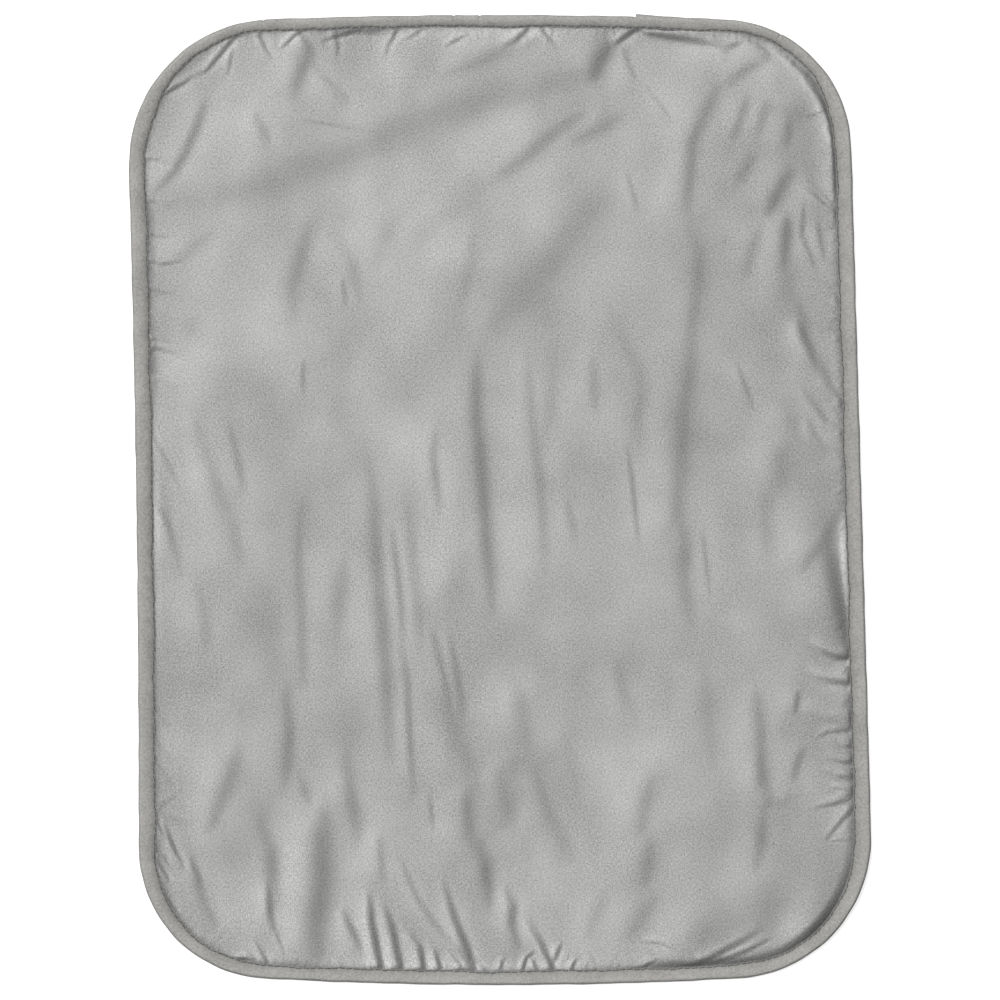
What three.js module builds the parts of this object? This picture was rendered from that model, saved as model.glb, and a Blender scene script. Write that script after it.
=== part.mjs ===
// Ironing pad. A metallised cotton cover and a plain cotton backing hold a fibre wadding between
// them. A woven tape, folded over the three cut edges, binds them, and one row of lockstitch holds
// the tape: a needle thread on the ironing face and a bobbin thread below. The tape's last end laps
// over its first end on the head side.
// Millimetres, +Z up. The pad lies on z = 0, ironing face up, with its head end towards +Y.

import * as THREE from "three";

// Plan of the bound edge. Widths and length lie between the edge lines, before the corners are rounded.
const HEAD_WIDTH = 520;
const FOOT_WIDTH = 530;
const SIDE_LENGTH = 692;
const FOOT_SHIFT = 15; // how far the foot end lies to the right of the head end
const HEAD_RIGHT_RADIUS = 94;
const HEAD_LEFT_RADIUS = 104;
const FOOT_LEFT_RADIUS = 95;
const FOOT_RIGHT_RADIUS = 101;
const HEAD_BOW = 3; // how far each edge bulges outwards at its middle
const LEFT_BOW = -2;
const FOOT_BOW = 4.5;
const RIGHT_BOW = 0;

// Plies, from the table up
const TAPE_THICKNESS = 0.5;
const BACKING_THICKNESS = 0.4;
const WADDING_EDGE = 1; // wadding squeezed inside the tape
const COVER_THICKNESS = 0.4;
const PLY_GAP = 0.3; // clearance between neighbouring plies
const TABLE_GAP = 0.1; // clearance below the lapped tape

// Folded tape and its stitching
const TAPE_WIDTH = 11; // on each face of the pad
const TAPE_CREST = 1.4; // how far the tape swells above the stitch line
const UNDER_CREST = 0.5; // how far it swells below, where the table presses it flat
const NOSE_DEPTH = 4.5; // from the outermost edge to the crest
const STITCH_MARGIN = 1.2; // from the stitch line to the tape's inner edge
const THREAD_DIAMETER = 0.4;
const LAP_X = 99; // where the tape's last end shows on the head side
const LAP_LENGTH = 24;
const LAP_RAMP = 14; // length in which the tape climbs over its own first end

// Padded form
const CUT_EDGE_INSET = 2.6; // the plies end this far inside the bound edge
const WADDING_INSET = 3.4;
const SEAM_CLEARANCE = 0.8; // flat cloth showing beside the tape
const SHOULDER_RISE = 0.8;
const SHOULDER_RUN = 36; // width in which the cover rises from the seam
const CROWN_RISE = 1;
const CROWN_RUN = 210;
const BACKING_RUN = 24; // width in which the backing comes down to the table
const FOLD_FADE = 34; // folds die out over this width towards the seam

// Main folds of the cover. Their ends are places across and along the pad, where 1 is its edge.
const FOLDS = [
  { name: "head ridge", from: [0.25, 0.9], to: [-0.9, 0.66], width: 30, height: 1.6 },
  { name: "second head ridge", from: [0.25, 0.67], to: [-0.11, 0.36], width: 26, height: 1.4 },
  { name: "long middle fold", from: [-0.09, 0.31], to: [-0.04, -0.32], width: 22, height: 1.4 },
  { name: "long right fold", from: [0.49, 0.42], to: [0.44, -0.24], width: 24, height: 1.3 },
  { name: "left fold", from: [-0.4, 0.15], to: [-0.33, -0.56], width: 22, height: 1.2 },
  { name: "foot fold", from: [-0.55, -0.57], to: [-0.57, -0.92], width: 20, height: 2 },
  { name: "left foot fold", from: [-0.77, -0.49], to: [-0.84, -0.69], width: 20, height: 1.3 },
  { name: "middle foot fold", from: [-0.12, -0.57], to: [-0.07, -0.84], width: 22, height: 1.1 },
  { name: "right head fold", from: [0.75, 0.71], to: [0.76, 0.38], width: 24, height: 1.4 },
  { name: "right edge fold", from: [0.85, -0.06], to: [0.91, -0.32], width: 18, height: 1.2 },
  { name: "right foot fold", from: [0.67, -0.38], to: [0.71, -0.63], width: 22, height: 1.2 },
  { name: "corner fold", from: [0.87, -0.66], to: [0.48, -0.92], width: 26, height: 1.3 },
];

// Fineness of the mesh
const ARC_STEPS = 4; // in half a corner
const HEAD_STEPS = 14; // along the straight of the head or foot edge
const FLANK_STEPS = 8; // along the straight of a side edge
const NOSE_STEPS = 6;
const THREAD_SIDES = 6;

// Heights in the bound edge, each from the one below it
const THREAD_SEAT = PLY_GAP + THREAD_DIAMETER;
const LAP_GROWTH = TAPE_THICKNESS + PLY_GAP;
const LOWER_LEG = TABLE_GAP + LAP_GROWTH + Math.max(UNDER_CREST, THREAD_SEAT);
const BACKING_SEAM = LOWER_LEG + TAPE_THICKNESS + PLY_GAP;
const WADDING_SEAM = BACKING_SEAM + BACKING_THICKNESS + PLY_GAP;
const COVER_SEAM = WADDING_SEAM + WADDING_EDGE + PLY_GAP;
const COVER_SEAM_TOP = COVER_SEAM + COVER_THICKNESS;
const UPPER_LEG = COVER_SEAM_TOP + PLY_GAP + TAPE_THICKNESS;

const STITCH_INSET = TAPE_WIDTH - STITCH_MARGIN;
const SEAM_INSET = TAPE_WIDTH + SEAM_CLEARANCE;
const SHOULDER_INSET = SEAM_INSET + SHOULDER_RUN;
const HEAD_COUNT = 2 * ARC_STEPS + HEAD_STEPS;
const FLANK_COUNT = 2 * ARC_STEPS + FLANK_STEPS;

const clamp01 = (t) => Math.min(1, Math.max(0, t));
const easeOut = (t) => Math.sin((clamp01(t) * Math.PI) / 2);
const outwardOf = (step) => new THREE.Vector2(step.y, -step.x).normalize();

// The vector that moves a corner so that both lines meeting there move by 1 along their normals.
function miter(normalBefore, normalAfter) {
  const sum = normalBefore.clone().add(normalAfter);
  return sum.divideScalar(1 + normalBefore.dot(normalAfter));
}

// The four rounded corners of the plan, anticlockwise from the head's right one.
function planCorners() {
  const half = SIDE_LENGTH / 2;
  const shift = FOOT_SHIFT / 2;
  const corners = [
    { at: new THREE.Vector2(HEAD_WIDTH / 2 - shift, half), radius: HEAD_RIGHT_RADIUS },
    { at: new THREE.Vector2(-HEAD_WIDTH / 2 - shift, half), radius: HEAD_LEFT_RADIUS },
    { at: new THREE.Vector2(-FOOT_WIDTH / 2 + shift, -half), radius: FOOT_LEFT_RADIUS },
    { at: new THREE.Vector2(FOOT_WIDTH / 2 + shift, -half), radius: FOOT_RIGHT_RADIUS },
  ];
  corners.forEach((corner, k) => {
    const into = corner.at.clone().sub(corners[(k + 3) % 4].at).normalize();
    const out = corners[(k + 1) % 4].at.clone().sub(corner.at).normalize();
    const toCentre = miter(outwardOf(into), outwardOf(out)).multiplyScalar(-corner.radius);
    corner.centre = corner.at.clone().add(toCentre);
    corner.startAngle = outwardOf(into).angle();
    corner.turn = Math.acos(into.dot(out));
  });
  return corners;
}

// A point of a corner's arc, from 0 at its start to 1 at its end.
function arcPoint(corner, t) {
  const angle = corner.startAngle + corner.turn * t;
  const reach = new THREE.Vector2(Math.cos(angle), Math.sin(angle)).multiplyScalar(corner.radius);
  return corner.centre.clone().add(reach);
}

// Stations round the bound edge, anticlockwise from the middle of the head's right corner. Each has
// its point and the miter vector that insets it.
function edgeStations() {
  const corners = planCorners();
  const bows = [HEAD_BOW, LEFT_BOW, FOOT_BOW, RIGHT_BOW];
  const points = [];
  corners.forEach((corner, k) => {
    const next = corners[(k + 1) % 4];
    const start = arcPoint(corner, 1);
    const end = arcPoint(next, 0);
    const bulge = outwardOf(end.clone().sub(start)).multiplyScalar(bows[k]);
    const straightSteps = k % 2 === 0 ? HEAD_STEPS : FLANK_STEPS;
    for (let j = 0; j < ARC_STEPS; j++) points.push(arcPoint(corner, 0.5 + (0.5 * j) / ARC_STEPS));
    for (let j = 0; j < straightSteps; j++) {
      const t = j / straightSteps;
      points.push(start.clone().lerp(end, t).addScaledVector(bulge, 4 * t * (1 - t)));
    }
    for (let j = 0; j < ARC_STEPS; j++) points.push(arcPoint(next, (0.5 * j) / ARC_STEPS));
  });
  return points.map((point, i) => {
    const before = points[(i + points.length - 1) % points.length];
    const after = points[(i + 1) % points.length];
    const outward = outwardOf(after.clone().sub(point));
    return { point, outward, miter: miter(outwardOf(point.clone().sub(before)), outward) };
  });
}

const STATIONS = edgeStations();
const STATION_COUNT = STATIONS.length;

// The station at a place between two others, where place counts stations from the first.
function stationAt(place) {
  const low = Math.floor(place);
  const a = STATIONS[low % STATION_COUNT];
  const b = STATIONS[(low + 1) % STATION_COUNT];
  const t = place - low;
  return { point: a.point.clone().lerp(b.point, t), miter: a.miter.clone().lerp(b.miter, t) };
}

// The place on the head side, which runs towards -X, at a given x.
function headPlace(x) {
  let i = 0;
  while (STATIONS[i + 1].point.x > x) i += 1;
  const a = STATIONS[i].point.x;
  return i + (a - x) / (a - STATIONS[i + 1].point.x);
}

function insetPoint(station, inset) {
  return station.point.clone().addScaledVector(station.miter, -inset);
}

// How far a point lies inside the bound edge.
function depthOf(point) {
  const depths = STATIONS.map((station) => station.point.clone().sub(point).dot(station.outward));
  return Math.min(...depths);
}

// Height that the folds add at a point of the cover.
function foldHeight(point) {
  let height = 0;
  for (const fold of FOLDS) {
    const [from, to] = [fold.from, fold.to].map(
      ([across, along]) => new THREE.Vector2((across * HEAD_WIDTH) / 2, (along * SIDE_LENGTH) / 2),
    );
    const run = to.clone().sub(from);
    const t = clamp01(point.clone().sub(from).dot(run) / run.lengthSq());
    const away = point.distanceTo(from.clone().addScaledVector(run, t)) / fold.width;
    height += fold.height * Math.exp(-away * away) * (0.4 + 0.6 * Math.sin(Math.PI * t));
  }
  return height;
}

// Skin heights over the pad, from a point and its depth inside the bound edge
function coverTop(point, depth) {
  const inside = depth - SEAM_INSET;
  const padded = SHOULDER_RISE * easeOut(inside / SHOULDER_RUN) + CROWN_RISE * easeOut(inside / CROWN_RUN);
  return COVER_SEAM_TOP + padded + foldHeight(point) * easeOut(inside / FOLD_FADE);
}
const coverUnder = (point, depth) => coverTop(point, depth) - COVER_THICKNESS;
const backingUnder = (point, depth) => BACKING_SEAM * (1 - easeOut((depth - SEAM_INSET) / BACKING_RUN));
const backingTop = (point, depth) => backingUnder(point, depth) + BACKING_THICKNESS;
const waddingTop = (point, depth) => coverUnder(point, depth) - PLY_GAP;
const waddingUnder = (point, depth) => backingTop(point, depth) + PLY_GAP;

// Fills the innermost ring with a grid whose border is that ring: HEAD_COUNT cells across, FLANK_COUNT along.
function gridInterior(points, ringStart, triangles) {
  const [nx, ny] = [HEAD_COUNT, FLANK_COUNT];
  const ring = (station) => ringStart + (station % STATION_COUNT);
  const head = (a) => ring(nx - a);
  const left = (b) => ring(nx + ny - b);
  const foot = (a) => ring(nx + ny + a);
  const right = (b) => ring(2 * nx + ny + b);
  const index = [];
  for (let b = 0; b <= ny; b++) {
    for (let a = 0; a <= nx; a++) {
      if (b === 0) index.push(foot(a));
      else if (b === ny) index.push(head(a));
      else if (a === 0) index.push(left(b));
      else if (a === nx) index.push(right(b));
      else {
        const [u, v] = [a / nx, b / ny];
        const blend = [
          [foot(a), 1 - v], [head(a), v], [left(b), 1 - u], [right(b), u],
          [foot(0), -(1 - u) * (1 - v)], [foot(nx), -u * (1 - v)], [head(0), -(1 - u) * v], [head(nx), -u * v],
        ];
        const point = new THREE.Vector2();
        blend.forEach(([i, share]) => point.addScaledVector(points[i], share));
        index.push(points.push(point) - 1);
      }
    }
  }
  const row = nx + 1;
  for (let b = 0; b < ny; b++) {
    for (let a = 0; a < nx; a++) {
      const i = b * row + a;
      triangles.push([index[i], index[i + 1], index[i + row + 1]]);
      triangles.push([index[i], index[i + row + 1], index[i + row]]);
    }
  }
}

// Fills the innermost ring with a fan about the pad's middle.
function fanInterior(points, ringStart, triangles) {
  const middle = points.push(new THREE.Vector2()) - 1;
  for (let i = 0; i < STATION_COUNT; i++) {
    triangles.push([middle, ringStart + i, ringStart + ((i + 1) % STATION_COUNT)]);
  }
}

// One skin of a ply in plan: rings that follow the bound edge, then the interior. The cut edge comes first.
function skinPlan(edgeInset, fillInterior) {
  const shoulderMiddle = SEAM_INSET + SHOULDER_RUN * 0.4;
  const insets = [edgeInset, SEAM_INSET, shoulderMiddle, SHOULDER_INSET];
  const points = insets.flatMap((inset) => STATIONS.map((station) => insetPoint(station, inset)));
  const triangles = [];
  for (let r = 0; r + 1 < insets.length; r++) {
    for (let i = 0; i < STATION_COUNT; i++) {
      const outer = r * STATION_COUNT + i;
      const outerNext = r * STATION_COUNT + ((i + 1) % STATION_COUNT);
      triangles.push([outer, outerNext, outerNext + STATION_COUNT]);
      triangles.push([outer, outerNext + STATION_COUNT, outer + STATION_COUNT]);
    }
  }
  fillInterior(points, (insets.length - 1) * STATION_COUNT, triangles);
  return { points, triangles };
}

function geometryOf(vertices, triangles) {
  const geometry = new THREE.BufferGeometry().setFromPoints(vertices);
  geometry.setIndex(triangles.flat());
  geometry.computeVertexNormals();
  return geometry;
}

// A ply as a closed solid: an upper skin, a lower skin turned over, and a wall round the cut edge.
function plyGeometry(edgeInset, topHeight, underHeight, fillTop, fillUnder) {
  const upper = skinPlan(edgeInset, fillTop);
  const lower = skinPlan(edgeInset, fillUnder);
  const raise = (height) => (p) => new THREE.Vector3(p.x, p.y, height(p, depthOf(p)));
  const base = upper.points.length;
  const triangles = [...upper.triangles, ...lower.triangles.map(([a, b, c]) => [base + a, base + c, base + b])];
  for (let i = 0; i < STATION_COUNT; i++) {
    const next = (i + 1) % STATION_COUNT;
    triangles.push([base + i, base + next, next], [base + i, next, i]);
  }
  return geometryOf([...upper.points.map(raise(topHeight)), ...lower.points.map(raise(underHeight))], triangles);
}

// Joins equal rings of points into a tube. An open tube is closed at its ends by capTriangles.
function tubeGeometry(rings, closed, capTriangles) {
  const size = rings[0].length;
  const triangles = [];
  const bands = closed ? rings.length : rings.length - 1;
  for (let r = 0; r < bands; r++) {
    const [near, far] = [r * size, ((r + 1) % rings.length) * size];
    for (let j = 0; j < size; j++) {
      const k = (j + 1) % size;
      triangles.push([near + j, far + k, far + j], [near + j, near + k, far + k]);
    }
  }
  const last = (rings.length - 1) * size;
  for (const [a, b, c] of capTriangles) triangles.push([a, c, b], [last + a, last + b, last + c]);
  return geometryOf(rings.flat(), triangles);
}

// The tape's middle line in section, as points of inset and height, from its upper inner edge round
// the pad's edge to its lower inner edge.
function tapeLine() {
  const half = TAPE_THICKNESS / 2;
  const [upper, lower] = [UPPER_LEG - half, LOWER_LEG + half];
  const middle = (upper + lower) / 2;
  const rise = upper - middle + TAPE_CREST;
  const sink = middle - lower + UNDER_CREST;
  const nose = [];
  for (let j = 0; j <= NOSE_STEPS; j++) {
    const angle = Math.PI * (0.5 - j / NOSE_STEPS);
    const inset = NOSE_DEPTH - (NOSE_DEPTH - half) * Math.cos(angle);
    const swell = angle > 0 ? rise : sink;
    nose.push(new THREE.Vector2(inset, middle + swell * Math.sin(angle)));
  }
  const leg = (height) => [new THREE.Vector2(TAPE_WIDTH, height), new THREE.Vector2(STITCH_INSET, height)];
  return [...leg(upper), ...nose, ...leg(lower).reverse()];
}

// The tape's closed section, moved outwards by growth: its outer face, then its inner face back again.
function tapeSection(growth) {
  const line = tapeLine();
  const normals = line.slice(1).map((point, j) => outwardOf(point.clone().sub(line[j])));
  const moved = (by) =>
    line.map((point, j) => {
      const before = normals[Math.max(j - 1, 0)];
      const after = normals[Math.min(j, normals.length - 1)];
      return point.clone().addScaledVector(miter(before, after), by);
    });
  const half = TAPE_THICKNESS / 2;
  return [...moved(growth + half), ...moved(growth - half).reverse()];
}

// Places along the tape from its first end, once round the pad, to its last end on top of the first.
const LAP_PLACES = {
  firstEnd: headPlace(LAP_X + LAP_LENGTH),
  climbStart: headPlace(LAP_X + LAP_LENGTH + LAP_RAMP) + STATION_COUNT,
  climbEnd: headPlace(LAP_X + LAP_LENGTH + PLY_GAP) + STATION_COUNT,
  lastEnd: headPlace(LAP_X) + STATION_COUNT,
};

function bindingGeometry() {
  const { firstEnd, climbStart, climbEnd, lastEnd } = LAP_PLACES;
  const places = [firstEnd, climbStart, climbEnd, lastEnd];
  for (let place = Math.ceil(firstEnd); place < lastEnd; place++) {
    if (!places.includes(place)) places.push(place);
  }
  places.sort((a, b) => a - b);
  const rings = places.map((place) => {
    const growth = LAP_GROWTH * clamp01((place - climbStart) / (climbEnd - climbStart));
    const station = stationAt(place);
    return tapeSection(growth).map(({ x: inset, y: height }) => {
      const point = insetPoint(station, inset);
      return new THREE.Vector3(point.x, point.y, height);
    });
  });
  const size = rings[0].length;
  const capTriangles = [];
  for (let j = 0; j + 1 < size / 2; j++) {
    capTriangles.push([j, j + 1, size - 2 - j], [j, size - 2 - j, size - 1 - j]);
  }
  return tubeGeometry(rings, false, capTriangles);
}

// One thread of the seam, a closed ring along the stitch line. It climbs with the lapped tape, away from
// the pad, and steps down again past the tape's last end.
function threadGeometry(restHeight, lapHeight) {
  const radius = THREAD_DIAMETER / 2;
  const stepLength = 3 * LAP_GROWTH;
  const climbStart = headPlace(LAP_X + LAP_LENGTH + LAP_RAMP + THREAD_DIAMETER);
  const climbEnd = headPlace(LAP_X + LAP_LENGTH + THREAD_DIAMETER + PLY_GAP);
  const dropStart = headPlace(LAP_X - THREAD_DIAMETER);
  const dropEnd = headPlace(LAP_X - THREAD_DIAMETER - stepLength);
  const places = [...STATIONS.keys(), climbStart, climbEnd, dropStart, dropEnd].sort((a, b) => a - b);
  const rings = places.map((place) => {
    const climbed = clamp01((place - climbStart) / (climbEnd - climbStart));
    const dropped = clamp01((place - dropStart) / (dropEnd - dropStart));
    const height = restHeight + (lapHeight - restHeight) * (climbed - dropped);
    const station = stationAt(place);
    return Array.from({ length: THREAD_SIDES }, (_, j) => {
      const angle = (2 * Math.PI * j) / THREAD_SIDES;
      const point = insetPoint(station, STITCH_INSET - radius * Math.cos(angle));
      return new THREE.Vector3(point.x, point.y, height - radius * Math.sin(angle));
    });
  });
  return tubeGeometry(rings, true, []);
}

const pad = new THREE.Group();

function addPiece(name, geometry, color, roughness, metalness) {
  const mesh = new THREE.Mesh(geometry, new THREE.MeshStandardMaterial({ color, roughness, metalness }));
  mesh.name = name;
  pad.add(mesh);
}

const backing = plyGeometry(CUT_EDGE_INSET, backingTop, backingUnder, fanInterior, fanInterior);
addPiece("backing_cloth", backing, 0xd9d6cd, 0.9, 0);
const wadding = plyGeometry(WADDING_INSET, waddingTop, waddingUnder, gridInterior, fanInterior);
addPiece("wadding", wadding, 0xeeeeea, 0.95, 0);
const cover = plyGeometry(CUT_EDGE_INSET, coverTop, coverUnder, gridInterior, gridInterior);
addPiece("top_cover", cover, 0xababaa, 0.5, 0.5);
addPiece("edge_binding", bindingGeometry(), 0xa3a29c, 0.85, 0);

const needleHeight = UPPER_LEG + PLY_GAP + THREAD_DIAMETER / 2;
const bobbinHeight = LOWER_LEG - PLY_GAP - THREAD_DIAMETER / 2;
addPiece("needle_thread", threadGeometry(needleHeight, needleHeight + LAP_GROWTH), 0x8b8a86, 0.7, 0);
addPiece("bobbin_thread", threadGeometry(bobbinHeight, bobbinHeight - LAP_GROWTH), 0x8b8a86, 0.7, 0);

// The origin is the middle of the pad's outer box, on the table.
const box = new THREE.Box3().setFromObject(pad);
const middle = box.getCenter(new THREE.Vector3());
pad.children.forEach((piece) => piece.position.set(-middle.x, -middle.y, 0));

export default pad;
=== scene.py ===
"""Ironing pad: a silver cover over wadding, a cotton backing, and an edge bound with folded tape."""

import math

import bmesh
import bpy
import numpy as np
from bpy.props import FloatProperty, FloatVectorProperty, IntProperty, PointerProperty
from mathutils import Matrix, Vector


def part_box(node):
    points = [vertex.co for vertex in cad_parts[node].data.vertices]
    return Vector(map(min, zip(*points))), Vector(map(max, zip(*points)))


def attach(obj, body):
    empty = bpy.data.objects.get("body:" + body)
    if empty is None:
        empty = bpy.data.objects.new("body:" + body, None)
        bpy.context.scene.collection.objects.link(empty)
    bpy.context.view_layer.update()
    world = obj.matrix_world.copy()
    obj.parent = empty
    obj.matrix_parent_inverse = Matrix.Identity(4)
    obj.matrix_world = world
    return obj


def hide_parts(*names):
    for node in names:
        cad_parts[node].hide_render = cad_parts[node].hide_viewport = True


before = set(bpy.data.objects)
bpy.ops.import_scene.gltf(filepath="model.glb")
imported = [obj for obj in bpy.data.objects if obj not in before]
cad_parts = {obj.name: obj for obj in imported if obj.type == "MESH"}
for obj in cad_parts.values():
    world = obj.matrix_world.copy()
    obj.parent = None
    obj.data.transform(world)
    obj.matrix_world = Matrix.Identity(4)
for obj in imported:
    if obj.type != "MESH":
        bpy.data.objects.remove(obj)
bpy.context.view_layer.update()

bl_info = {
    "name": "Ironing pad",
    "version": (1, 0, 0),
    "blender": (4, 5, 0),
    "location": "3D View > Sidebar > Ironing pad",
    "description": "Dresses the solids of a bound ironing pad in cloth, wadding, tape and stitches",
    "category": "Object",
}

# Chart that the folds are placed on: its unit in metres, counted right and down from a corner, and the
# middle of the pad's frame on it.
CHART_UNIT = 0.000721
CHART_MIDDLE = (500.0, 499.75)

# Plan direction in which the folds' steep sides look: right and a little towards the foot.
SHADE_SIDE = np.array((0.95, -0.31))

# Broad folds of the cover: drop and width of the steep side in mm, then its line on the chart.
BROAD_FOLDS = [
    (1.9, 20, [(625, 40), (590, 66), (540, 88), (480, 103),
        (420, 120), (340, 156), (283, 178), (215, 198), (140, 205)]),
    (1.3, 8, [(612, 40), (600, 60), (590, 85)]),
    (0.7, 8, [(545, 40), (500, 53), (440, 76)]),
    (0.8, 8, [(592, 108), (553, 133), (523, 160), (490, 182)]),
    (0.6, 7, [(628, 112), (597, 130), (562, 147)]),
    (0.8, 16, [(612, 190), (567, 237), (540, 280), (503, 315), (478, 345)]),
    (0.6, 14, [(495, 178), (457, 207), (420, 235), (392, 285)]),
    (0.4, 10, [(400, 205), (388, 235), (372, 270)]),
    (0.3, 7, [(475, 225), (470, 267), (458, 312)]),
    (0.9, 8, [(308, 36), (306, 60), (298, 80), (292, 102)]),
    (0.7, 9, [(310, 218), (300, 260), (292, 285), (294, 325)]),
    (0.4, 6, [(328, 225), (350, 260), (362, 305)]),
    (0.7, 5, [(208, 95), (196, 128), (186, 152), (174, 172), (150, 196)]),
    (0.45, 8, [(155, 275), (190, 250), (218, 228)]),
    (0.4, 8, [(152, 300), (173, 307), (200, 320)]),
    (0.5, 6, [(160, 485), (172, 535), (180, 572)]),
    (0.7, 9, [(195, 415), (210, 463), (218, 497), (233, 523), (242, 572)]),
    (0.45, 7, [(196, 575), (205, 622), (207, 655)]),
    (1.4, 30, [(280, 380), (273, 490), (280, 573), (272, 700)]),
    (0.5, 6, [(301, 495), (298, 557), (301, 607), (304, 690)]),
    (0.5, 9, [(345, 550), (338, 607), (336, 640)]),
    (0.5, 12, [(325, 410), (345, 430), (368, 455)]),
    (1, 9, [(366, 435), (375, 507), (377, 553), (381, 607), (386, 673), (391, 775)]),
    (0.45, 13, [(461, 430), (461, 500), (460, 573), (446, 625)]),
    (1.2, 8, [(476, 345), (477, 423), (482, 473), (485, 527), (490, 573), (493, 620)]),
    (0.5, 7, [(407, 485), (413, 573), (424, 655)]),
    (0.45, 6, [(526, 350), (532, 420), (540, 480), (546, 575)]),
    (0.4, 9, [(553, 340), (552, 390), (546, 450)]),
    (0.3, 6, [(608, 312), (637, 367), (643, 390), (637, 417), (643, 462)]),
    (0.9, 10, [(692, 300), (690, 370), (683, 417), (680, 473), (676, 510), (662, 550)]),
    (0.7, 9, [(676, 495), (686, 547), (684, 580), (691, 635)]),
    (0.75, 7, [(722, 80), (703, 117), (692, 143), (691, 165), (686, 215)]),
    (0.5, 8, [(684, 220), (700, 253), (698, 287), (692, 335)]),
    (0.5, 5, [(750, 92), (740, 120), (730, 145)]),
    (0.5, 6, [(769, 92), (764, 112), (756, 140)]),
    (0.5, 5, [(789, 115), (788, 133), (786, 152)]),
    (0.45, 6, [(757, 152), (745, 170), (733, 188)]),
    (1, 7, [(793, 165), (778, 193), (765, 218)]),
    (0.4, 6, [(762, 222), (752, 250), (745, 280)]),
    (1.05, 6, [(788, 212), (786, 240), (783, 270)]),
    (1.1, 15, [(788, 255), (786, 285), (790, 322)]),
    (0.8, 6, [(797, 298), (806, 332), (820, 362), (835, 395)]),
    (0.6, 8, [(780, 398), (797, 430), (830, 448)]),
    (0.45, 9, [(776, 440), (781, 465), (785, 492)]),
    (0.6, 7, [(848, 495), (826, 536), (798, 576)]),
    (2.4, 10, [(826, 530), (833, 570), (842, 615), (849, 662)]),
    (0.4, 8, [(762, 490), (765, 525), (768, 565)]),
    (0.45, 10, [(702, 660), (707, 717), (715, 775)]),
    (0.75, 7, [(755, 685), (761, 730), (760, 765)]),
    (1.05, 7, [(760, 750), (763, 783), (774, 802)]),
    (0.6, 6, [(764, 808), (761, 840), (755, 875)]),
    (0.7, 11, [(498, 668), (520, 695), (528, 745)]),
    (0.75, 10, [(497, 765), (505, 795), (514, 825)]),
    (0.75, 8, [(533, 762), (543, 800), (552, 823), (576, 857)]),
    (0.4, 9, [(562, 725), (570, 760), (580, 800)]),
    (0.45, 14, [(500, 862), (550, 903), (582, 935)]),
    (0.5, 9, [(608, 885), (598, 912), (586, 940)]),
    (0.5, 9, [(660, 893), (642, 918), (626, 942)]),
    (0.6, 8, [(653, 770), (643, 815), (640, 840)]),
    (0.6, 8, [(650, 835), (648, 865), (645, 890)]),
    (0.45, 7, [(615, 655), (624, 697), (640, 725)]),
    (0.7, 6, [(188, 850), (202, 897), (218, 930)]),
    (1.1, 10, [(241, 742), (228, 785), (206, 838)]),
    (0.7, 7, [(285, 680), (290, 733), (284, 795)]),
    (1.3, 9, [(255, 812), (271, 850), (273, 890), (270, 917), (280, 945)]),
    (2.7, 14, [(325, 800), (322, 840), (322, 883), (316, 925), (318, 972)]),
    (0.8, 8, [(345, 745), (351, 797), (360, 848)]),
    (0.7, 11, [(442, 700), (466, 757), (480, 805)]),
    (1, 8, [(466, 785), (470, 835), (476, 860)]),
    (1.05, 7, [(477, 835), (486, 868), (490, 910)]),
]

# Thin creases, in the same form.
CREASES = [
    (0.4, 3, [(310, 66), (330, 83), (350, 100)]),
    (0.35, 2.5, [(280, 105), (303, 120), (347, 127), (375, 133)]),
    (0.55, 4, [(252, 111), (262, 128), (272, 146)]),
    (0.35, 3, [(622, 45), (628, 62), (636, 80)]),
    (0.25, 2.5, [(645, 86), (658, 102), (672, 120)]),
    (0.25, 2.5, [(625, 168), (632, 190), (639, 212)]),
    (0.5, 4, [(228, 422), (237, 457), (245, 495)]),
    (0.3, 3, [(341, 275), (344, 290), (346, 308)]),
    (0.3, 3, [(303, 358), (303, 375), (304, 395)]),
    (0.55, 3.5, [(391, 520), (400, 593), (404, 645)]),
    (0.5, 3.5, [(399, 638), (407, 677), (410, 737), (414, 800)]),
    (0.5, 4, [(436, 425), (433, 457), (441, 518)]),
    (0.55, 4, [(431, 625), (440, 660), (452, 710)]),
    (0.55, 4, [(449, 630), (456, 670), (465, 720)]),
    (0.35, 4, [(566, 498), (571, 520), (578, 542)]),
    (0.4, 5, [(592, 352), (594, 385), (596, 415)]),
    (0.35, 3, [(626, 440), (632, 480), (639, 548)]),
    (0.25, 3, [(702, 525), (706, 560), (711, 600)]),
    (0.4, 3, [(804, 200), (802, 235), (818, 275)]),
    (0.4, 3, [(806, 178), (814, 190), (826, 206)]),
    (0.4, 3, [(817, 220), (820, 238), (825, 260)]),
    (0.35, 4, [(762, 105), (790, 112), (828, 118)]),
    (0.55, 5, [(724, 85), (745, 70), (770, 58)]),
    (0.35, 3, [(735, 360), (745, 385), (754, 410)]),
    (0.5, 3, [(798, 688), (797, 700), (795, 715)]),
    (0.5, 4, [(804, 745), (797, 765), (792, 785)]),
    (0.4, 4, [(379, 830), (381, 855), (383, 885)]),
    (0.5, 4, [(296, 770), (303, 786), (312, 808)]),
    (0.3, 3, [(428, 790), (431, 810), (434, 830)]),
    (0.35, 4, [(758, 808), (772, 804), (790, 803)]),
    (2, 4.5, [(634, 28), (648, 34), (670, 37), (692, 40), (708, 43), (722, 49)]),
    (1.6, 5, [(801, 62), (823, 91), (836, 126), (841, 170), (843, 218)]),
]

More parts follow.
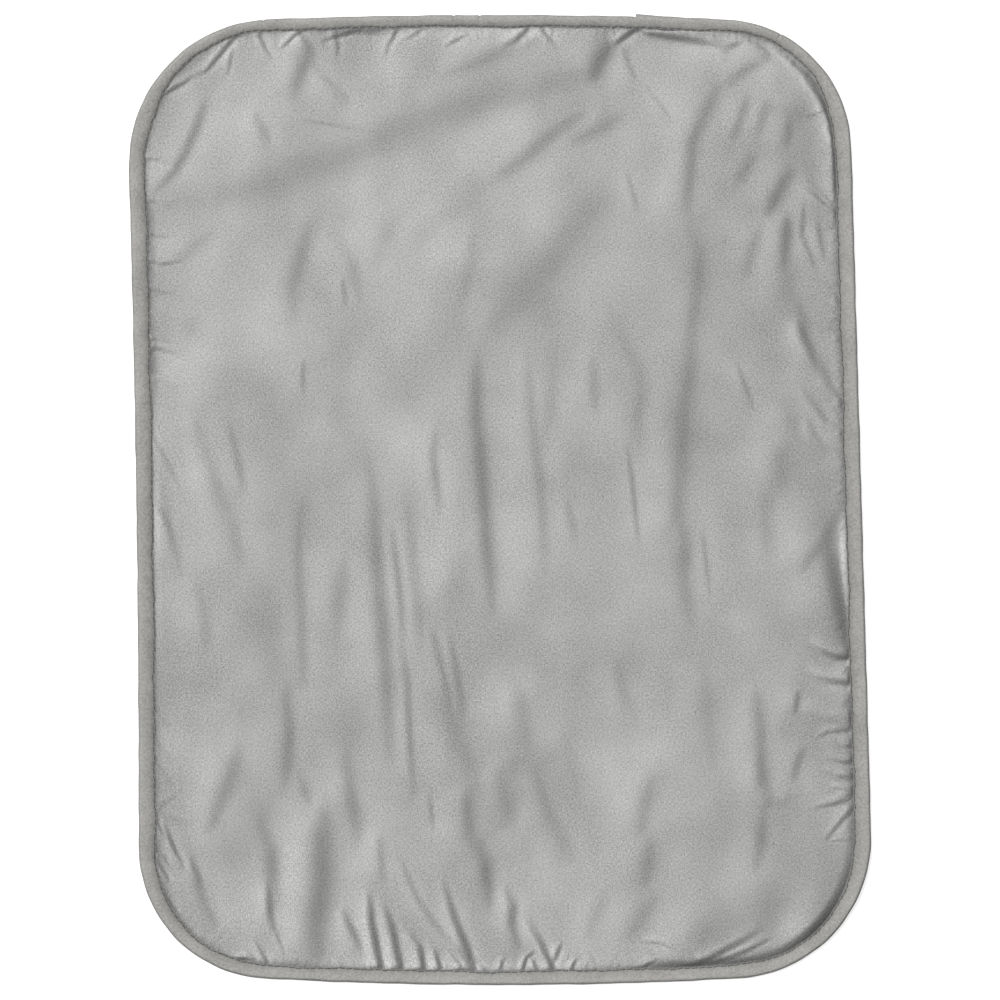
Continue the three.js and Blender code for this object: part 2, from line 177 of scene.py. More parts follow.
# Gathers that run in from the seam, in the same form. Their lines start below the tape.
GATHERS = [
    (0.7, 3.4, [(268, 880), (270, 912), (275, 932)]),
    (0.4, 2.2, [(275, 930), (280, 942), (285, 955)]),
    (0.7, 3, [(253, 937), (261, 950), (267, 962)]),
    (1.2, 4.6, [(342, 908), (352, 930), (364, 952)]),
    (1.8, 4.4, [(369, 888), (372, 922), (382, 972)]),
    (1.7, 4.6, [(384, 902), (393, 930), (402, 974)]),
    (1.5, 3.6, [(407, 930), (420, 946), (424, 970)]),
    (1.2, 3, [(434, 948), (438, 960), (443, 976)]),
    (1.3, 3, [(448, 950), (458, 962), (468, 976)]),
    (0.85, 3.6, [(394, 845), (418, 900), (440, 930), (458, 948), (470, 970)]),
    (1.9, 4.6, [(443, 880), (455, 918), (467, 948), (476, 976)]),
    (1.15, 2.2, [(472, 958), (482, 966), (492, 975)]),
    (1.15, 5.8, [(504, 885), (513, 905), (512, 925), (520, 950)]),
    (1.5, 3.4, [(526, 918), (540, 940), (553, 968)]),
    (0.8, 2.2, [(536, 950), (527, 957), (521, 974)]),
    (0.8, 2.2, [(528, 954), (534, 962), (539, 976)]),
    (0.7, 2.2, [(506, 956), (502, 963), (499, 975)]),
    (0.7, 2.7, [(562, 942), (557, 954), (553, 964)]),
    (1.05, 2.2, [(578, 958), (573, 965), (570, 980)]),
    (0.95, 2.2, [(660, 958), (642, 968), (618, 974)]),
    (0.55, 2.2, [(642, 941), (659, 943), (676, 950)]),
    (1.2, 3.5, [(762, 929), (738, 943), (718, 954), (694, 966)]),
    (0.7, 2.7, [(775, 936), (748, 950), (716, 962)]),
    (1.1, 3.2, [(166, 900), (172, 907), (180, 914)]),
    (1.3, 3.2, [(180, 925), (188, 932), (199, 936)]),
    (1.75, 2.7, [(236, 960), (246, 959), (256, 963)]),
    (0.65, 2.7, [(852, 810), (843, 819), (832, 832), (824, 842)]),
    (1.5, 3.5, [(803, 76), (812, 86), (820, 97), (825, 108)]),
    (1, 2.7, [(826, 124), (831, 133), (836, 140)]),
    (0.9, 2.7, [(797, 183), (812, 193), (828, 207), (838, 214)]),
    (0.6, 2.7, [(812, 182), (822, 192), (832, 204)]),
    (1, 4.6, [(796, 318), (805, 340), (818, 368)]),
    (0.7, 3.9, [(820, 374), (830, 386), (840, 396)]),
    (1, 3.4, [(800, 387), (814, 404), (826, 420), (842, 430)]),
    (0.6, 3.4, [(806, 420), (816, 436), (826, 445)]),
    (2.1, 3.7, [(808, 641), (822, 651), (836, 657), (852, 657)]),
    (1.7, 4, [(805, 672), (825, 680), (855, 684)]),
    (1.1, 6.5, [(800, 708), (825, 720), (855, 726)]),
    (0.75, 2.8, [(815, 738), (828, 732), (846, 730)]),
    (1, 3.2, [(836, 742), (845, 746), (860, 748)]),
    (1, 3.4, [(824, 757), (840, 761), (860, 764)]),
    (0.95, 3.4, [(822, 768), (838, 776), (860, 781)]),
    (0.95, 3.0, [(830, 787), (845, 790), (860, 792)]),
    (0.85, 2.6, [(836, 796), (846, 795), (860, 794)]),
    (0.85, 2.8, [(812, 808), (832, 804), (852, 798)]),
    (0.55, 2.7, [(140, 158), (158, 160), (176, 166)]),
    (0.5, 3, [(140, 200), (156, 202), (170, 210)]),
    (0.55, 2.7, [(142, 233), (156, 236), (172, 238)]),
    (0.6, 2.7, [(142, 258), (160, 264), (182, 262)]),
    (0.55, 2.7, [(142, 288), (160, 292), (178, 296)]),
    (0.65, 2.7, [(142, 338), (158, 340), (172, 344)]),
    (0.9, 3.2, [(142, 347), (160, 349), (182, 356)]),
    (0.7, 3, [(145, 372), (160, 377), (178, 386)]),
    (0.35, 3.2, [(148, 430), (162, 452), (176, 478), (186, 500)]),
    (0.35, 3.4, [(154, 500), (166, 520), (175, 550)]),
    (0.65, 2.4, [(146, 710), (160, 716), (172, 724)]),
    (0.4, 4.6, [(148, 730), (162, 748), (174, 762)]),
    (0.4, 3.5, [(148, 755), (163, 770), (174, 784)]),
    (0.25, 3, [(180, 796), (172, 798), (160, 808)]),
    (0.6, 2.2, [(144, 800), (156, 806), (170, 812), (194, 818)]),
    (0.75, 2.7, [(150, 812), (158, 824), (166, 840)]),
    (0.9, 3, [(163, 820), (170, 838), (176, 852), (186, 870)]),
    (0.65, 2.4, [(154, 850), (164, 856), (170, 866)]),
    (0.75, 2.4, [(160, 866), (166, 874), (170, 882)]),
    (0.7, 3.4, [(190, 858), (196, 870), (203, 885)]),
    (0.75, 3, [(232, 40), (218, 57), (206, 71), (192, 76)]),
    (0.8, 3, [(194, 75), (184, 83), (170, 90)]),
    (0.35, 2.7, [(233, 48), (230, 62), (227, 78)]),
    (0.7, 2.7, [(260, 36), (266, 50), (274, 58)]),
    (0.65, 2.4, [(298, 32), (288, 42), (279, 50)]),
    (0.9, 3.5, [(299, 30), (308, 44), (317, 56)]),
    (0.7, 2.7, [(320, 42), (330, 38), (348, 33)]),
    (0.5, 3.2, [(336, 34), (338, 48), (336, 60)]),
    (0.45, 2.7, [(396, 32), (388, 46), (385, 60)]),
    (0.45, 2.4, [(422, 29), (410, 37), (400, 42)]),
    (0.55, 2.4, [(468, 34), (455, 41), (444, 47)]),
    (0.85, 2.4, [(539, 26), (548, 37), (558, 47)]),
    (1.1, 3.4, [(526, 30), (516, 40), (500, 48)]),
    (1.5, 3.4, [(636, 28), (626, 36), (612, 46)]),
    (0.8, 4, [(722, 50), (731, 46), (744, 42)]),
    (1.2, 4, [(752, 41), (763, 48), (772, 55)]),
    (1.05, 3, [(778, 52), (790, 60), (803, 72)]),
]

# Low swells of the padding: height and reach in mm, and the middle on the chart of the side that
# catches light, or of the side turned from it where the height is negative.
SWELLS = [
    (0.8, 22, (795, 925)),
    (0.5, 30, (475, 625)),
    (0.6, 35, (500, 745)),
    (0.5, 30, (610, 860)),
    (0.5, 30, (800, 915)),
    (-0.3, 25, (690, 235)),
    (-0.3, 25, (765, 230)),
    (0.5, 30, (745, 455)),
    (0.4, 30, (752, 125)),
    (-0.3, 30, (205, 190)),
    (-0.5, 25, (235, 480)),
    (0.6, 50, (600, 335)),
    (0.5, 35, (530, 650)),
    (0.7, 40, (430, 750)),
    (-0.4, 30, (735, 340)),
    (-0.5, 30, (715, 745)),
    (0.5, 40, (700, 880)),
    (0.8, 30, (390, 42)),
    (-0.8, 35, (598, 52)),
    (-0.8, 30, (815, 100)),
    (0.7, 45, (430, 60)),
    (0.5, 35, (500, 135)),
    (0.7, 35, (542, 195)),
    (0.4, 40, (440, 250)),
    (0.4, 30, (398, 440)),
    (0.4, 25, (365, 378)),
    (0.5, 40, (440, 540)),
    (0.55, 40, (770, 270)),
    (0.7, 40, (545, 850)),
    (0.65, 30, (670, 928)),
    (0.3, 25, (495, 700)),
    (0.4, 40, (720, 560)),
    (0.5, 40, (190, 240)),
    (0.5, 30, (185, 367)),
    (0.5, 30, (740, 880)),
    (0.4, 35, (240, 110)),
    (1.8, 110, (620, 850)),
    (0.65, 45, (640, 890)),
    (-0.5, 50, (262, 800)),
    (0.7, 80, (430, 220)),
    (0.5, 45, (760, 905)),
    (0.4, 35, (575, 680)),
    (0.4, 30, (440, 830)),
    (0.4, 30, (400, 340)),
    (0.4, 35, (575, 240)),
    (0.3, 30, (540, 475)),
    (-1.2, 30, (255, 830)),
    (-0.5, 40, (280, 500)),
    (-0.4, 30, (640, 70)),
    (-0.5, 35, (715, 290)),
    (-0.4, 25, (790, 250)),
    (-0.7, 25, (815, 540)),
    (-0.3, 25, (490, 540)),
    (-0.4, 30, (760, 755)),
    (-0.3, 25, (270, 690)),
    (-0.3, 30, (325, 105)),
]

# Shallow hollows where the padding is thinner: depth and reach in mm, and the middle on the chart.
HOLLOWS = [
    (1.4, 75, (300, 800)),
    (0.8, 60, (390, 530)),
    (0.8, 50, (560, 890)),
]

# Places on the chart where the tape has a small kink across it.
TAPE_KINKS = [(778, 38), (263, 28), (454, 22), (479, 22)]

# Folds, swells and hollows are given in mm, which is this in metres.
MM = 0.001

# The cloth plies end this far inside the bound edge, and sewn layers keep this gap.
CUT_EDGE_INSET = 0.0026
PLY_GAP = 0.0003

# Folds begin this far below the tape. Broad folds and swells reach their height within these widths.
FOLD_START = 0.0005
FOLD_RUN = 0.006
SWELL_RUN = 0.0065

# A fold is felt within this many of its widths, and dies out past its ends within this many.
FOLD_REACH = 7
FOLD_END_RUN = 1.5

# A fold's ends: power by which it rises from them, and share of its width there.
FOLD_END_POWER = 0.8
FOLD_END_WIDTH = 0.6

# Steepness of a fold's drop, and share of its width within which the pieces of its line blend.
FOLD_STEEPNESS = 1.6
FOLD_BLEND = 0.3

# Slope at the middle of a swell whose height is as long as its reach.
SWELL_SLOPE = 1.6

# Puckers, the small gathers along the seam: ranges of their gaps against each other, of their reach in
# metres, and of their width and height in mm.
PUCKER_GAPS = (0.5, 1.5)
PUCKER_REACH = (0.004, 0.009)
PUCKER_WIDTH = (1.3, 2.4)
PUCKER_HEIGHT = (0.04, 0.20)

# Share of the puckers that reach further, by how much, spread of their slants, and growth to the right.
LONG_SHARE = 0.2
LONGER = 2.2
SLANT_SPREAD = 0.35
TALLER_RIGHT = 0.5

# Points of a pucker's line, as shares of its reach from the tape's inner edge.
PUCKER_POINTS = np.array((-0.4, 0.3, 1.0))

# Seeds of the puckers.
COVER_SEED = 11
BACKING_SEED = 5


def metres(name, description, default):
    return FloatProperty(name=name, description=description, default=default, unit="LENGTH")


def tint(name, description, default):
    return FloatVectorProperty(name=name, description=description, subtype="COLOR", size=3, default=default)


class PadSizes(bpy.types.PropertyGroup):
    """Sizes of the pad and its sewing."""

    head_width: metres("Head width", "Between the side lines at the head end", 0.520)
    foot_width: metres("Foot width", "Between the side lines at the foot end", 0.530)
    side_length: metres("Length", "Between the head line and the foot line", 0.692)
    foot_shift: metres("Foot shift", "How far the foot end lies to the right", 0.015)
    head_right_radius: metres("Head right radius", "Corner radius", 0.094)
    head_left_radius: metres("Head left radius", "Corner radius", 0.104)
    foot_left_radius: metres("Foot left radius", "Corner radius", 0.095)
    foot_right_radius: metres("Foot right radius", "Corner radius", 0.101)
    head_bow: metres("Head bow", "How far the head edge bulges", 0.003)
    left_bow: metres("Left bow", "How far the left edge bulges", -0.002)
    foot_bow: metres("Foot bow", "How far the foot edge bulges", 0.0045)
    right_bow: metres("Right bow", "How far the right edge bulges", 0.0)
    cloth_thickness: metres("Cloth", "Thickness of cover and backing", 0.0004)
    tape_thickness: metres("Tape", "Thickness of the binding tape", 0.0005)
    tape_width: metres("Tape width", "Tape on each face along the sides", 0.0122)
    head_narrowing: metres("Head narrowing", "Less tape shows on the head", 0.0035)
    foot_narrowing: metres("Foot narrowing", "Less tape shows on the foot", 0.0017)
    tape_crest: metres("Tape crest", "Swell above the stitches", 0.0014)
    under_crest: metres("Under crest", "Swell below the stitches", 0.0005)
    nose_depth: metres("Nose depth", "From the edge to the tape's crest", 0.0021)
    stitch_margin: metres("Stitch margin", "From the stitches to the tape's inner edge", 0.0009)
    stitch_pitch: metres("Stitch pitch", "Length of one stitch", 0.0052)
    thread_diameter: metres("Thread", "Diameter of both threads", 0.00055)
    lap_x: metres("Lap place", "Where the tape's last end shows", 0.099)
    lap_length: metres("Lap length", "How far the tape laps over its first end", 0.024)
    lap_ramp: metres("Lap ramp", "Length in which the tape climbs its first end", 0.014)
    shoulder_rise: metres("Shoulder rise", "Height of the padded edge", 0.00003)
    shoulder_lean: FloatVectorProperty(
        name="Shoulder lean",
        description="How much more the padded edge rises at the right and at the head",
        size=2,
        default=(0.00054, 0.0001),
        unit="LENGTH",
    )
    shoulder_run: metres("Shoulder run", "Width of the padded edge", 0.036)
    crown_rise: metres("Crown rise", "Further rise to the middle", 0.0010)
    crown_run: metres("Crown run", "Width of the further rise", 0.21)
    backing_run: metres("Backing run", "Width in which the backing drops to the table", 0.024)
    cover_fullness: FloatProperty(
        name="Cover fullness", description="Spare width of the cover", default=0.010, subtype="FACTOR"
    )
    pucker_count: IntProperty(name="Puckers", description="Small gathers along the seam", default=400)


class PadFinishes(bpy.types.PropertyGroup):
    """Colours of the pad's cloths."""

    cover: tint("Cover", "Silver cotton", (0.405, 0.405, 0.40))
    tape: tint("Tape", "Binding tape", (0.46, 0.453, 0.434))
    # The thread's own grey, made darker so that it also paints the shade in the stitch holes along the seam.
    thread: tint("Thread", "Sewing thread", (0.13, 0.13, 0.125))
    backing: tint("Backing", "Plain cotton", (0.66, 0.64, 0.58))
    wadding: tint("Wadding", "Fibre fill", (0.83, 0.83, 0.80))


def smoothstep(low, high, x):
    t = np.clip((x - low) / (high - low), 0.0, 1.0)
    return t * t * (3.0 - 2.0 * t)


def ease_out(t):
    return np.sin(np.clip(t, 0.0, 1.0) * math.pi / 2)


def chart_point(place):
    """A chart place as metres in the pad's frame."""
    return np.array(((place[0] - CHART_MIDDLE[0]) * CHART_UNIT, (CHART_MIDDLE[1] - place[1]) * CHART_UNIT))


class BoundEdge:
    """The closed line of the pad's outermost edge, anticlockwise, as evenly spaced points."""

    # Spacing of the points, length over which the corners ease in, and steps of a corner and a side.
    STEP = 0.00125
    CORNER_EASE = 0.007
    ARC_STEPS = 60
    SIDE_STEPS = 120

    # Shares of the half length between which the tape narrows to the head and the foot, and the share
    # past which the edge is the head side.
    NARROW_FROM = 0.78
    NARROW_TO = 0.93
    HEAD_FROM = 0.9

    def __init__(self, sizes):
        self.sizes = sizes
        points, marks = self.rounded_plan(sizes)
        points = self.even(points)
        sigma = self.CORNER_EASE / self.STEP
        reach = np.arange(-int(3 * sigma), int(3 * sigma) + 1)
        weights = np.exp(-0.5 * (reach / sigma) ** 2)
        weights /= weights.sum()
        points = sum(w * np.roll(points, -k, axis=0) for k, w in zip(reach, weights))
        low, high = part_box("edge_binding")
        middle = 0.5 * (points.min(axis=0) + points.max(axis=0))
        self.shift = np.array(((low[0] + high[0]) / 2, (low[1] + high[1]) / 2)) - middle
        self.points = self.even(points + self.shift)
        ahead = np.roll(self.points, -1, axis=0) - np.roll(self.points, 1, axis=0)
        self.along = ahead / np.linalg.norm(ahead, axis=1)[:, None]
        self.outward = np.stack((self.along[:, 1], -self.along[:, 0]), axis=1)
        self.count = len(self.points)
        self.step = np.linalg.norm(np.roll(self.points, -1, axis=0) - self.points, axis=1).mean()
        self.length = self.count * self.step
        self.corners = [self.nearest(mark + self.shift) for mark in marks]

    def rounded_plan(self, sizes):
        """Points of the outline with round corners and bowed sides, and the middles of its corners."""
        half, shift = sizes.side_length / 2, sizes.foot_shift / 2
        corners = [
            (np.array((sizes.head_width / 2 - shift, half)), sizes.head_right_radius),
            (np.array((-sizes.head_width / 2 - shift, half)), sizes.head_left_radius),
            (np.array((-sizes.foot_width / 2 + shift, -half)), sizes.foot_left_radius),
            (np.array((sizes.foot_width / 2 + shift, -half)), sizes.foot_right_radius),
        ]
        bows = (sizes.head_bow, sizes.left_bow, sizes.foot_bow, sizes.right_bow)
        arcs = []
        for k, (at, radius) in enumerate(corners):
            into = at - corners[k - 1][0]
            out = corners[(k + 1) % 4][0] - at
            into, out = into / np.linalg.norm(into), out / np.linalg.norm(out)
            before, after = np.array((into[1], -into[0])), np.array((out[1], -out[0]))
            centre = at - (before + after) / (1 + before @ after) * radius
            start = math.atan2(before[1], before[0])
            turn = math.acos(float(into @ out))
            angles = start + turn * np.linspace(0, 1, self.ARC_STEPS + 1)
            arcs.append(centre + radius * np.stack((np.cos(angles), np.sin(angles)), axis=1))
        points = []
        for k, arc in enumerate(arcs):
            start, end = arc[-1], arcs[(k + 1) % 4][0]
            run = (end - start) / np.linalg.norm(end - start)
            t = np.linspace(0, 1, self.SIDE_STEPS + 1)[1:-1, None]
            bulge = np.array((run[1], -run[0])) * bows[k]
            points += [arc, start + (end - start) * t + bulge * 4 * t * (1 - t)]
        return np.concatenate(points), [arc[self.ARC_STEPS // 2] for arc in arcs]

    def even(self, points):
        """The closed line through points, as points at even distances."""
        closed = np.vstack((points, points[:1]))
        reach = np.concatenate(((0.0,), np.cumsum(np.linalg.norm(np.diff(closed, axis=0), axis=1))))
        count = int(round(reach[-1] / self.STEP))
        at = np.linspace(0, reach[-1], count, endpoint=False)
        return np.stack([np.interp(at, reach, closed[:, axis]) for axis in (0, 1)], axis=1)

    def nearest(self, point):
        """Distance along the edge of the station nearest to a point."""
        return int(np.argmin(np.linalg.norm(self.points - point, axis=1))) * self.step

    def at(self, distance):
        """Points, directions and outward normals at distances along the edge."""
        place = np.asarray(distance, dtype=float) / self.step
        low = np.floor(place).astype(int)
        t = (place - low)[..., None]
        tables = (self.points, self.along, self.outward)
        return [rows[low % self.count] * (1 - t) + rows[(low + 1) % self.count] * t for rows in tables]

    def inset(self, distance, depth):
        """Points at depths inside the edge."""
        points, _, outward = self.at(distance)
        return points - outward * np.asarray(depth)[..., None]

    def depth(self, xy):
        """How far points lie inside the edge, by every second of its points."""
        nearest = np.full(len(xy), np.inf)
        depth = np.zeros(len(xy))
        for point, outward in zip(self.points[::2], self.outward[::2]):
            offset = point - xy
            away = offset[:, 0] ** 2 + offset[:, 1] ** 2
            closer = np.flatnonzero(away < nearest)
            nearest[closer] = away[closer]
            depth[closer] = offset[closer] @ outward
        return depth

    def tape_reach(self, y):
        """Width of tape that shows at a y of the plan: less along the head and the foot."""
        share = y / self.points[:, 1].max()
        narrowing = self.sizes.head_narrowing * smoothstep(self.NARROW_FROM, self.NARROW_TO, share)
        narrowing += self.sizes.foot_narrowing * smoothstep(self.NARROW_FROM, self.NARROW_TO, -share)
        return self.sizes.tape_width - narrowing

    def inside(self, xy):
        """How far points lie inside the tape's inner edge."""
        return self.depth(xy) - self.tape_reach(xy[:, 1])

    def head_distance(self, x):
        """Distance along the edge at a given x of the head side."""
        head = np.flatnonzero(self.points[:, 1] > self.HEAD_FROM * self.points[:, 1].max())
        return head[np.argmin(np.abs(self.points[head, 0] - x))] * self.step


def cloth_plan(edge, depth, across, along):
    """A grid of cells whose border follows the edge at a depth. Its rows run from foot to head."""
    right_head, left_head, left_foot, right_foot = edge.corners

    def line(start, end, cells):
        end += edge.length if end < start else 0.0
        return edge.inset(np.linspace(start, end, cells + 1), np.full(cells + 1, depth))

    head = line(right_head, left_head, across)[::-1]
    left = line(left_head, left_foot, along)[::-1]
    foot = line(left_foot, right_foot, across)
    right = line(right_foot, right_head, along)
    u = np.linspace(0, 1, across + 1)[None, :, None]
    v = np.linspace(0, 1, along + 1)[:, None, None]
    grid = (1 - v) * foot[None] + v * head[None] + (1 - u) * left[:, None] + u * right[:, None]
    grid -= (1 - u) * (1 - v) * foot[0] + u * (1 - v) * foot[-1] + (1 - u) * v * head[0] + u * v * head[-1]
    return grid


def fold_heights(xy, folds, hollow=0.42, swell=2.7, recovery=2.5):
    """Height that folds add: a slow swell on the lit side, a steep drop, and a hollow behind it."""
    height = np.zeros(len(xy))
    for drop, wide, line in folds:
        width = wide * MM
        points = np.array(line)
        low, high = points.min(axis=0) - FOLD_REACH * width, points.max(axis=0) + FOLD_REACH * width
        near = np.flatnonzero(np.all((xy > low) & (xy < high), axis=1))
        if not len(near):
            continue
        across, share, nearest = fold_place(xy[near], points, width)
        beyond = np.sqrt(np.maximum(nearest**2 - across**2, 0.0))
        taper = np.sin(math.pi * np.clip(share, 0, 1)) ** FOLD_END_POWER
        taper *= np.exp(-((beyond / (FOLD_END_RUN * width)) ** 2))
        d = across / (width * (FOLD_END_WIDTH + (1 - FOLD_END_WIDTH) * taper))
        fall = 0.5 * (1 - np.tanh(FOLD_STEEPNESS * d))
        lit = fall * np.exp(-((np.minimum(d, 0) / swell) ** 2))
        behind = (1 - fall) * np.exp(-((np.maximum(d, 0) / recovery) ** 2))
        height[near] += drop * MM * taper * ((1 - hollow) * lit - hollow * behind)
    return height


def fold_place(xy, points, width):
    """Distance of points from a fold's line to its shaded side, share of its length, and least distance."""
    chord = points[-1] - points[0]
    side = 1.0 if np.dot((chord[1], -chord[0]), SHADE_SIDE) > 0 else -1.0
    steps = np.diff(points, axis=0)
    lengths = np.linalg.norm(steps, axis=1)
    before = np.concatenate(((0.0,), np.cumsum(lengths)))
    total, across, share = np.zeros((3, len(xy)))
    nearest = np.full(len(xy), np.inf)
    for start, step, length, reach in zip(points, steps, lengths, before):
        offset = xy - start
        t = np.clip(offset @ step / length**2, 0, 1)
        away = np.linalg.norm(offset - t[:, None] * step, axis=1)
        weight = (away**2 + (FOLD_BLEND * width) ** 2) ** -2
        normal = np.array((step[1], -step[0])) / length * side
        across += weight * (offset @ normal)
        share += weight * (reach + t * length) / before[-1]
        total += weight
        nearest = np.minimum(nearest, away)
    return across / total, share / total, nearest


def swell_heights(xy):
    """Height that the padding's low swells add, less the depth of its hollows."""
    height = np.zeros(len(xy))
    for tall, reach, place in SWELLS:
        offset = (xy - chart_point(place)) / (reach * MM)
        height += tall * MM * (offset @ SHADE_SIDE) * np.exp(-np.sum(offset**2, axis=1)) * SWELL_SLOPE
    for deep, reach, place in HOLLOWS:
        offset = (xy - chart_point(place)) / (reach * MM)
        height -= deep * MM * np.exp(-np.sum(offset**2, axis=1))
    return height


def on_pad(folds):
    """Folds with their chart lines as points of the pad's frame."""
    return [(tall, wide, [chart_point(place) for place in line]) for tall, wide, line in folds]


def carried_under(folds, edge):
    """Gathers that reach the seam, carried on below the tape so that they are deep near it."""
    near_seam, carried_share = 0.004, 0.6
    carried = []
    for tall, wide, line in folds:
        points = np.array(line)
        inside = edge.inside(points[[0, -1]])
        if inside[0] < inside[1]:
            points = points[::-1]
        if inside.min() < near_seam:
            last = points[-1] - points[-2]
            length = np.linalg.norm(np.diff(points, axis=0), axis=1).sum()
            points = np.vstack((points, points[-1] + last / np.linalg.norm(last) * carried_share * length))
        carried.append((tall, wide, list(points)))
    return carried


def seam_puckers(edge, sizes, seed):
    """Small gathers that run in from the seam at uneven distances."""
    chance = np.random.default_rng(seed)
    gaps = chance.uniform(*PUCKER_GAPS, sizes.pucker_count)
    places = np.cumsum(gaps) / gaps.sum() * edge.length
    puckers = []
    for place in places:
        reach = chance.uniform(*PUCKER_REACH) * (LONGER if chance.uniform() < LONG_SHARE else 1.0)
        slant = chance.normal(0, SLANT_SPREAD)
        wide = chance.uniform(*PUCKER_WIDTH)
        point, _, outward = edge.at(place)
        tall = chance.uniform(*PUCKER_HEIGHT) * (1 + TALLER_RIGHT * outward[0])
        start = edge.tape_reach(point[1])
        depths = start + reach * PUCKER_POINTS
        line = edge.inset(place + slant * (depths - start), depths)
        puckers.append((tall, wide, list(line)))
    return puckers


def make_object(name, vertices, faces):
    mesh = bpy.data.meshes.new(name)
    mesh.from_pydata([tuple(v) for v in vertices], [], faces)
    mesh.update()
    piece = bpy.data.objects.new(name, mesh)
    bpy.context.scene.collection.objects.link(piece)
    mesh.polygons.foreach_set("use_smooth", [True] * len(mesh.polygons))
    return piece


def thicken(piece, thickness):
    """Give a single face of cloth its thickness on the side that it is turned from."""
    solid = piece.modifiers.new("Solidify", "SOLIDIFY")
    solid.thickness = thickness
    solid.offset = -1.0
    for other in bpy.context.selected_objects:
        other.select_set(False)
    bpy.context.view_layer.objects.active = piece
    piece.select_set(True)
    bpy.ops.object.modifier_apply(modifier=solid.name)


def grid_faces(columns, rows, first=0, turned=False):
    """Quads of a grid of vertices stored row by row."""
    faces = []
    for r in range(rows - 1):
        for c in range(columns - 1):
            i = first + r * columns + c
            quad = (i, i + 1, i + columns + 1, i + columns)
            faces.append(quad[::-1] if turned else quad)
    return faces


def coordinates(piece):
    flat = np.empty(len(piece.data.vertices) * 3)
    piece.data.vertices.foreach_get("co", flat)
    return flat.reshape(-1, 3)


def set_coordinates(piece, points):
    piece.data.vertices.foreach_set("co", np.ascontiguousarray(points).ravel())
    piece.data.update()


def settled_movement(points, columns, rows, edge, sizes):
    """How the cover's spare width buckles between its seams: the movement of each point of its grid."""
    sewn_width, loose_hold = 0.002, 0.02
    frames = 24
    most, share = 0.0010, 0.4
    piece = make_object("settling_cover", points, grid_faces(columns, rows))
    sewn = edge.inside(points[:, :2]) < sewn_width
    seam = piece.vertex_groups.new(name="seam")
    seam.add([int(i) for i in np.flatnonzero(sewn)], 1.0, "REPLACE")
    seam.add([int(i) for i in np.flatnonzero(~sewn)], loose_hold, "REPLACE")
    piece.shape_key_add(name="sewn")
    cut = piece.shape_key_add(name="cut")
    wide = points * np.array((1 + sizes.cover_fullness, 1, 1))
    cut.data.foreach_set("co", wide.ravel())
    cut.value = 0.0
    cloth = piece.modifiers.new("Cloth", "CLOTH")
    cloth.settings.quality = 6
    cloth.settings.mass = 0.02
    cloth.settings.air_damping = 4.0
    cloth.settings.tension_stiffness = 15
    cloth.settings.compression_stiffness = 15
    cloth.settings.shear_stiffness = 0.5
    cloth.settings.bending_stiffness = 8
    cloth.settings.vertex_group_mass = seam.name
    cloth.settings.pin_stiffness = 0.5
    cloth.settings.rest_shape_key = cut
    cloth.settings.effector_weights.gravity = 0.0
    cloth.collision_settings.use_collision = False
    scene = bpy.context.scene
    for step in range(1, frames + 1):
        scene.frame_set(step)
    settled = piece.evaluated_get(bpy.context.evaluated_depsgraph_get())
    flat = np.empty(len(points) * 3)
    settled.data.vertices.foreach_get("co", flat)
    scene.frame_set(1)
    bpy.data.objects.remove(piece)
    return share * most * np.tanh(smoothed(flat.reshape(-1, 3) - points, columns, rows) / most)


def smoothed(values, columns, rows):
    """Values of a grid, each averaged with its neighbours, twice over."""
    grid = values.reshape(rows, columns, -1)
    for _ in range(2):
        grid = np.pad(grid, ((1, 1), (1, 1), (0, 0)), mode="edge")
        grid = 0.25 * (grid[:-2] + 2 * grid[1:-1] + grid[2:])
        grid = 0.25 * (grid[:, :-2] + 2 * grid[:, 1:-1] + grid[:, 2:])
    return grid.reshape(-1, values.shape[1])


def halve_near(piece, folds, reach):
    """Halve the upward faces of a flat ply that lie within a reach, in widths, of the lines of folds."""
    net = bmesh.new()
    net.from_mesh(piece.data)
    net.normal_update()
    least_up = 0.5
    upward = [face for face in net.faces if face.normal.z > least_up]
    middles = np.array([face.calc_center_median()[:2] for face in upward])
    near = np.zeros(len(upward), dtype=bool)
    for _, wide, line in folds:
        points, away = np.array(line), reach * wide * MM
        close = np.all((middles > points.min(axis=0) - away) & (middles < points.max(axis=0) + away), axis=1)
        close = np.flatnonzero(close & ~near)
        near[close] = fold_place(middles[close], points, away)[2] < away
    halved = {edge for face, hit in zip(upward, near) if hit for edge in face.edges}
    halved = [edge for edge in halved if all(face.normal.z > least_up for face in edge.link_faces)]
    bmesh.ops.subdivide_edges(net, edges=halved, cuts=1, use_grid_fill=True)
    net.to_mesh(piece.data)
    net.free()


def grid_border(columns, rows):
    """The vertices round a grid, anticlockwise from above."""
    foot = list(range(columns - 1))
    right = [r * columns + columns - 1 for r in range(rows - 1)]
    head = [(rows - 1) * columns + c for c in range(columns - 1, 0, -1)]
    left = [r * columns for r in range(rows - 1, 0, -1)]
    return foot + right + head + left


def link_nodes(tree, *pairs):
    for source, target in pairs:
        tree.links.new(source, target)


def new_finish(name, color, roughness):
    """A material with its shader and the pad's own coordinates."""
    finish = bpy.data.materials.new(name)
    finish.use_nodes = True
    tree = finish.node_tree
    shader = tree.nodes["Principled BSDF"]
    shader.inputs["Base Color"].default_value = (*color, 1)
    shader.inputs["Roughness"].default_value = roughness
    place = tree.nodes.new("ShaderNodeTexCoord")
    return finish, tree, shader, place.outputs["Object"]


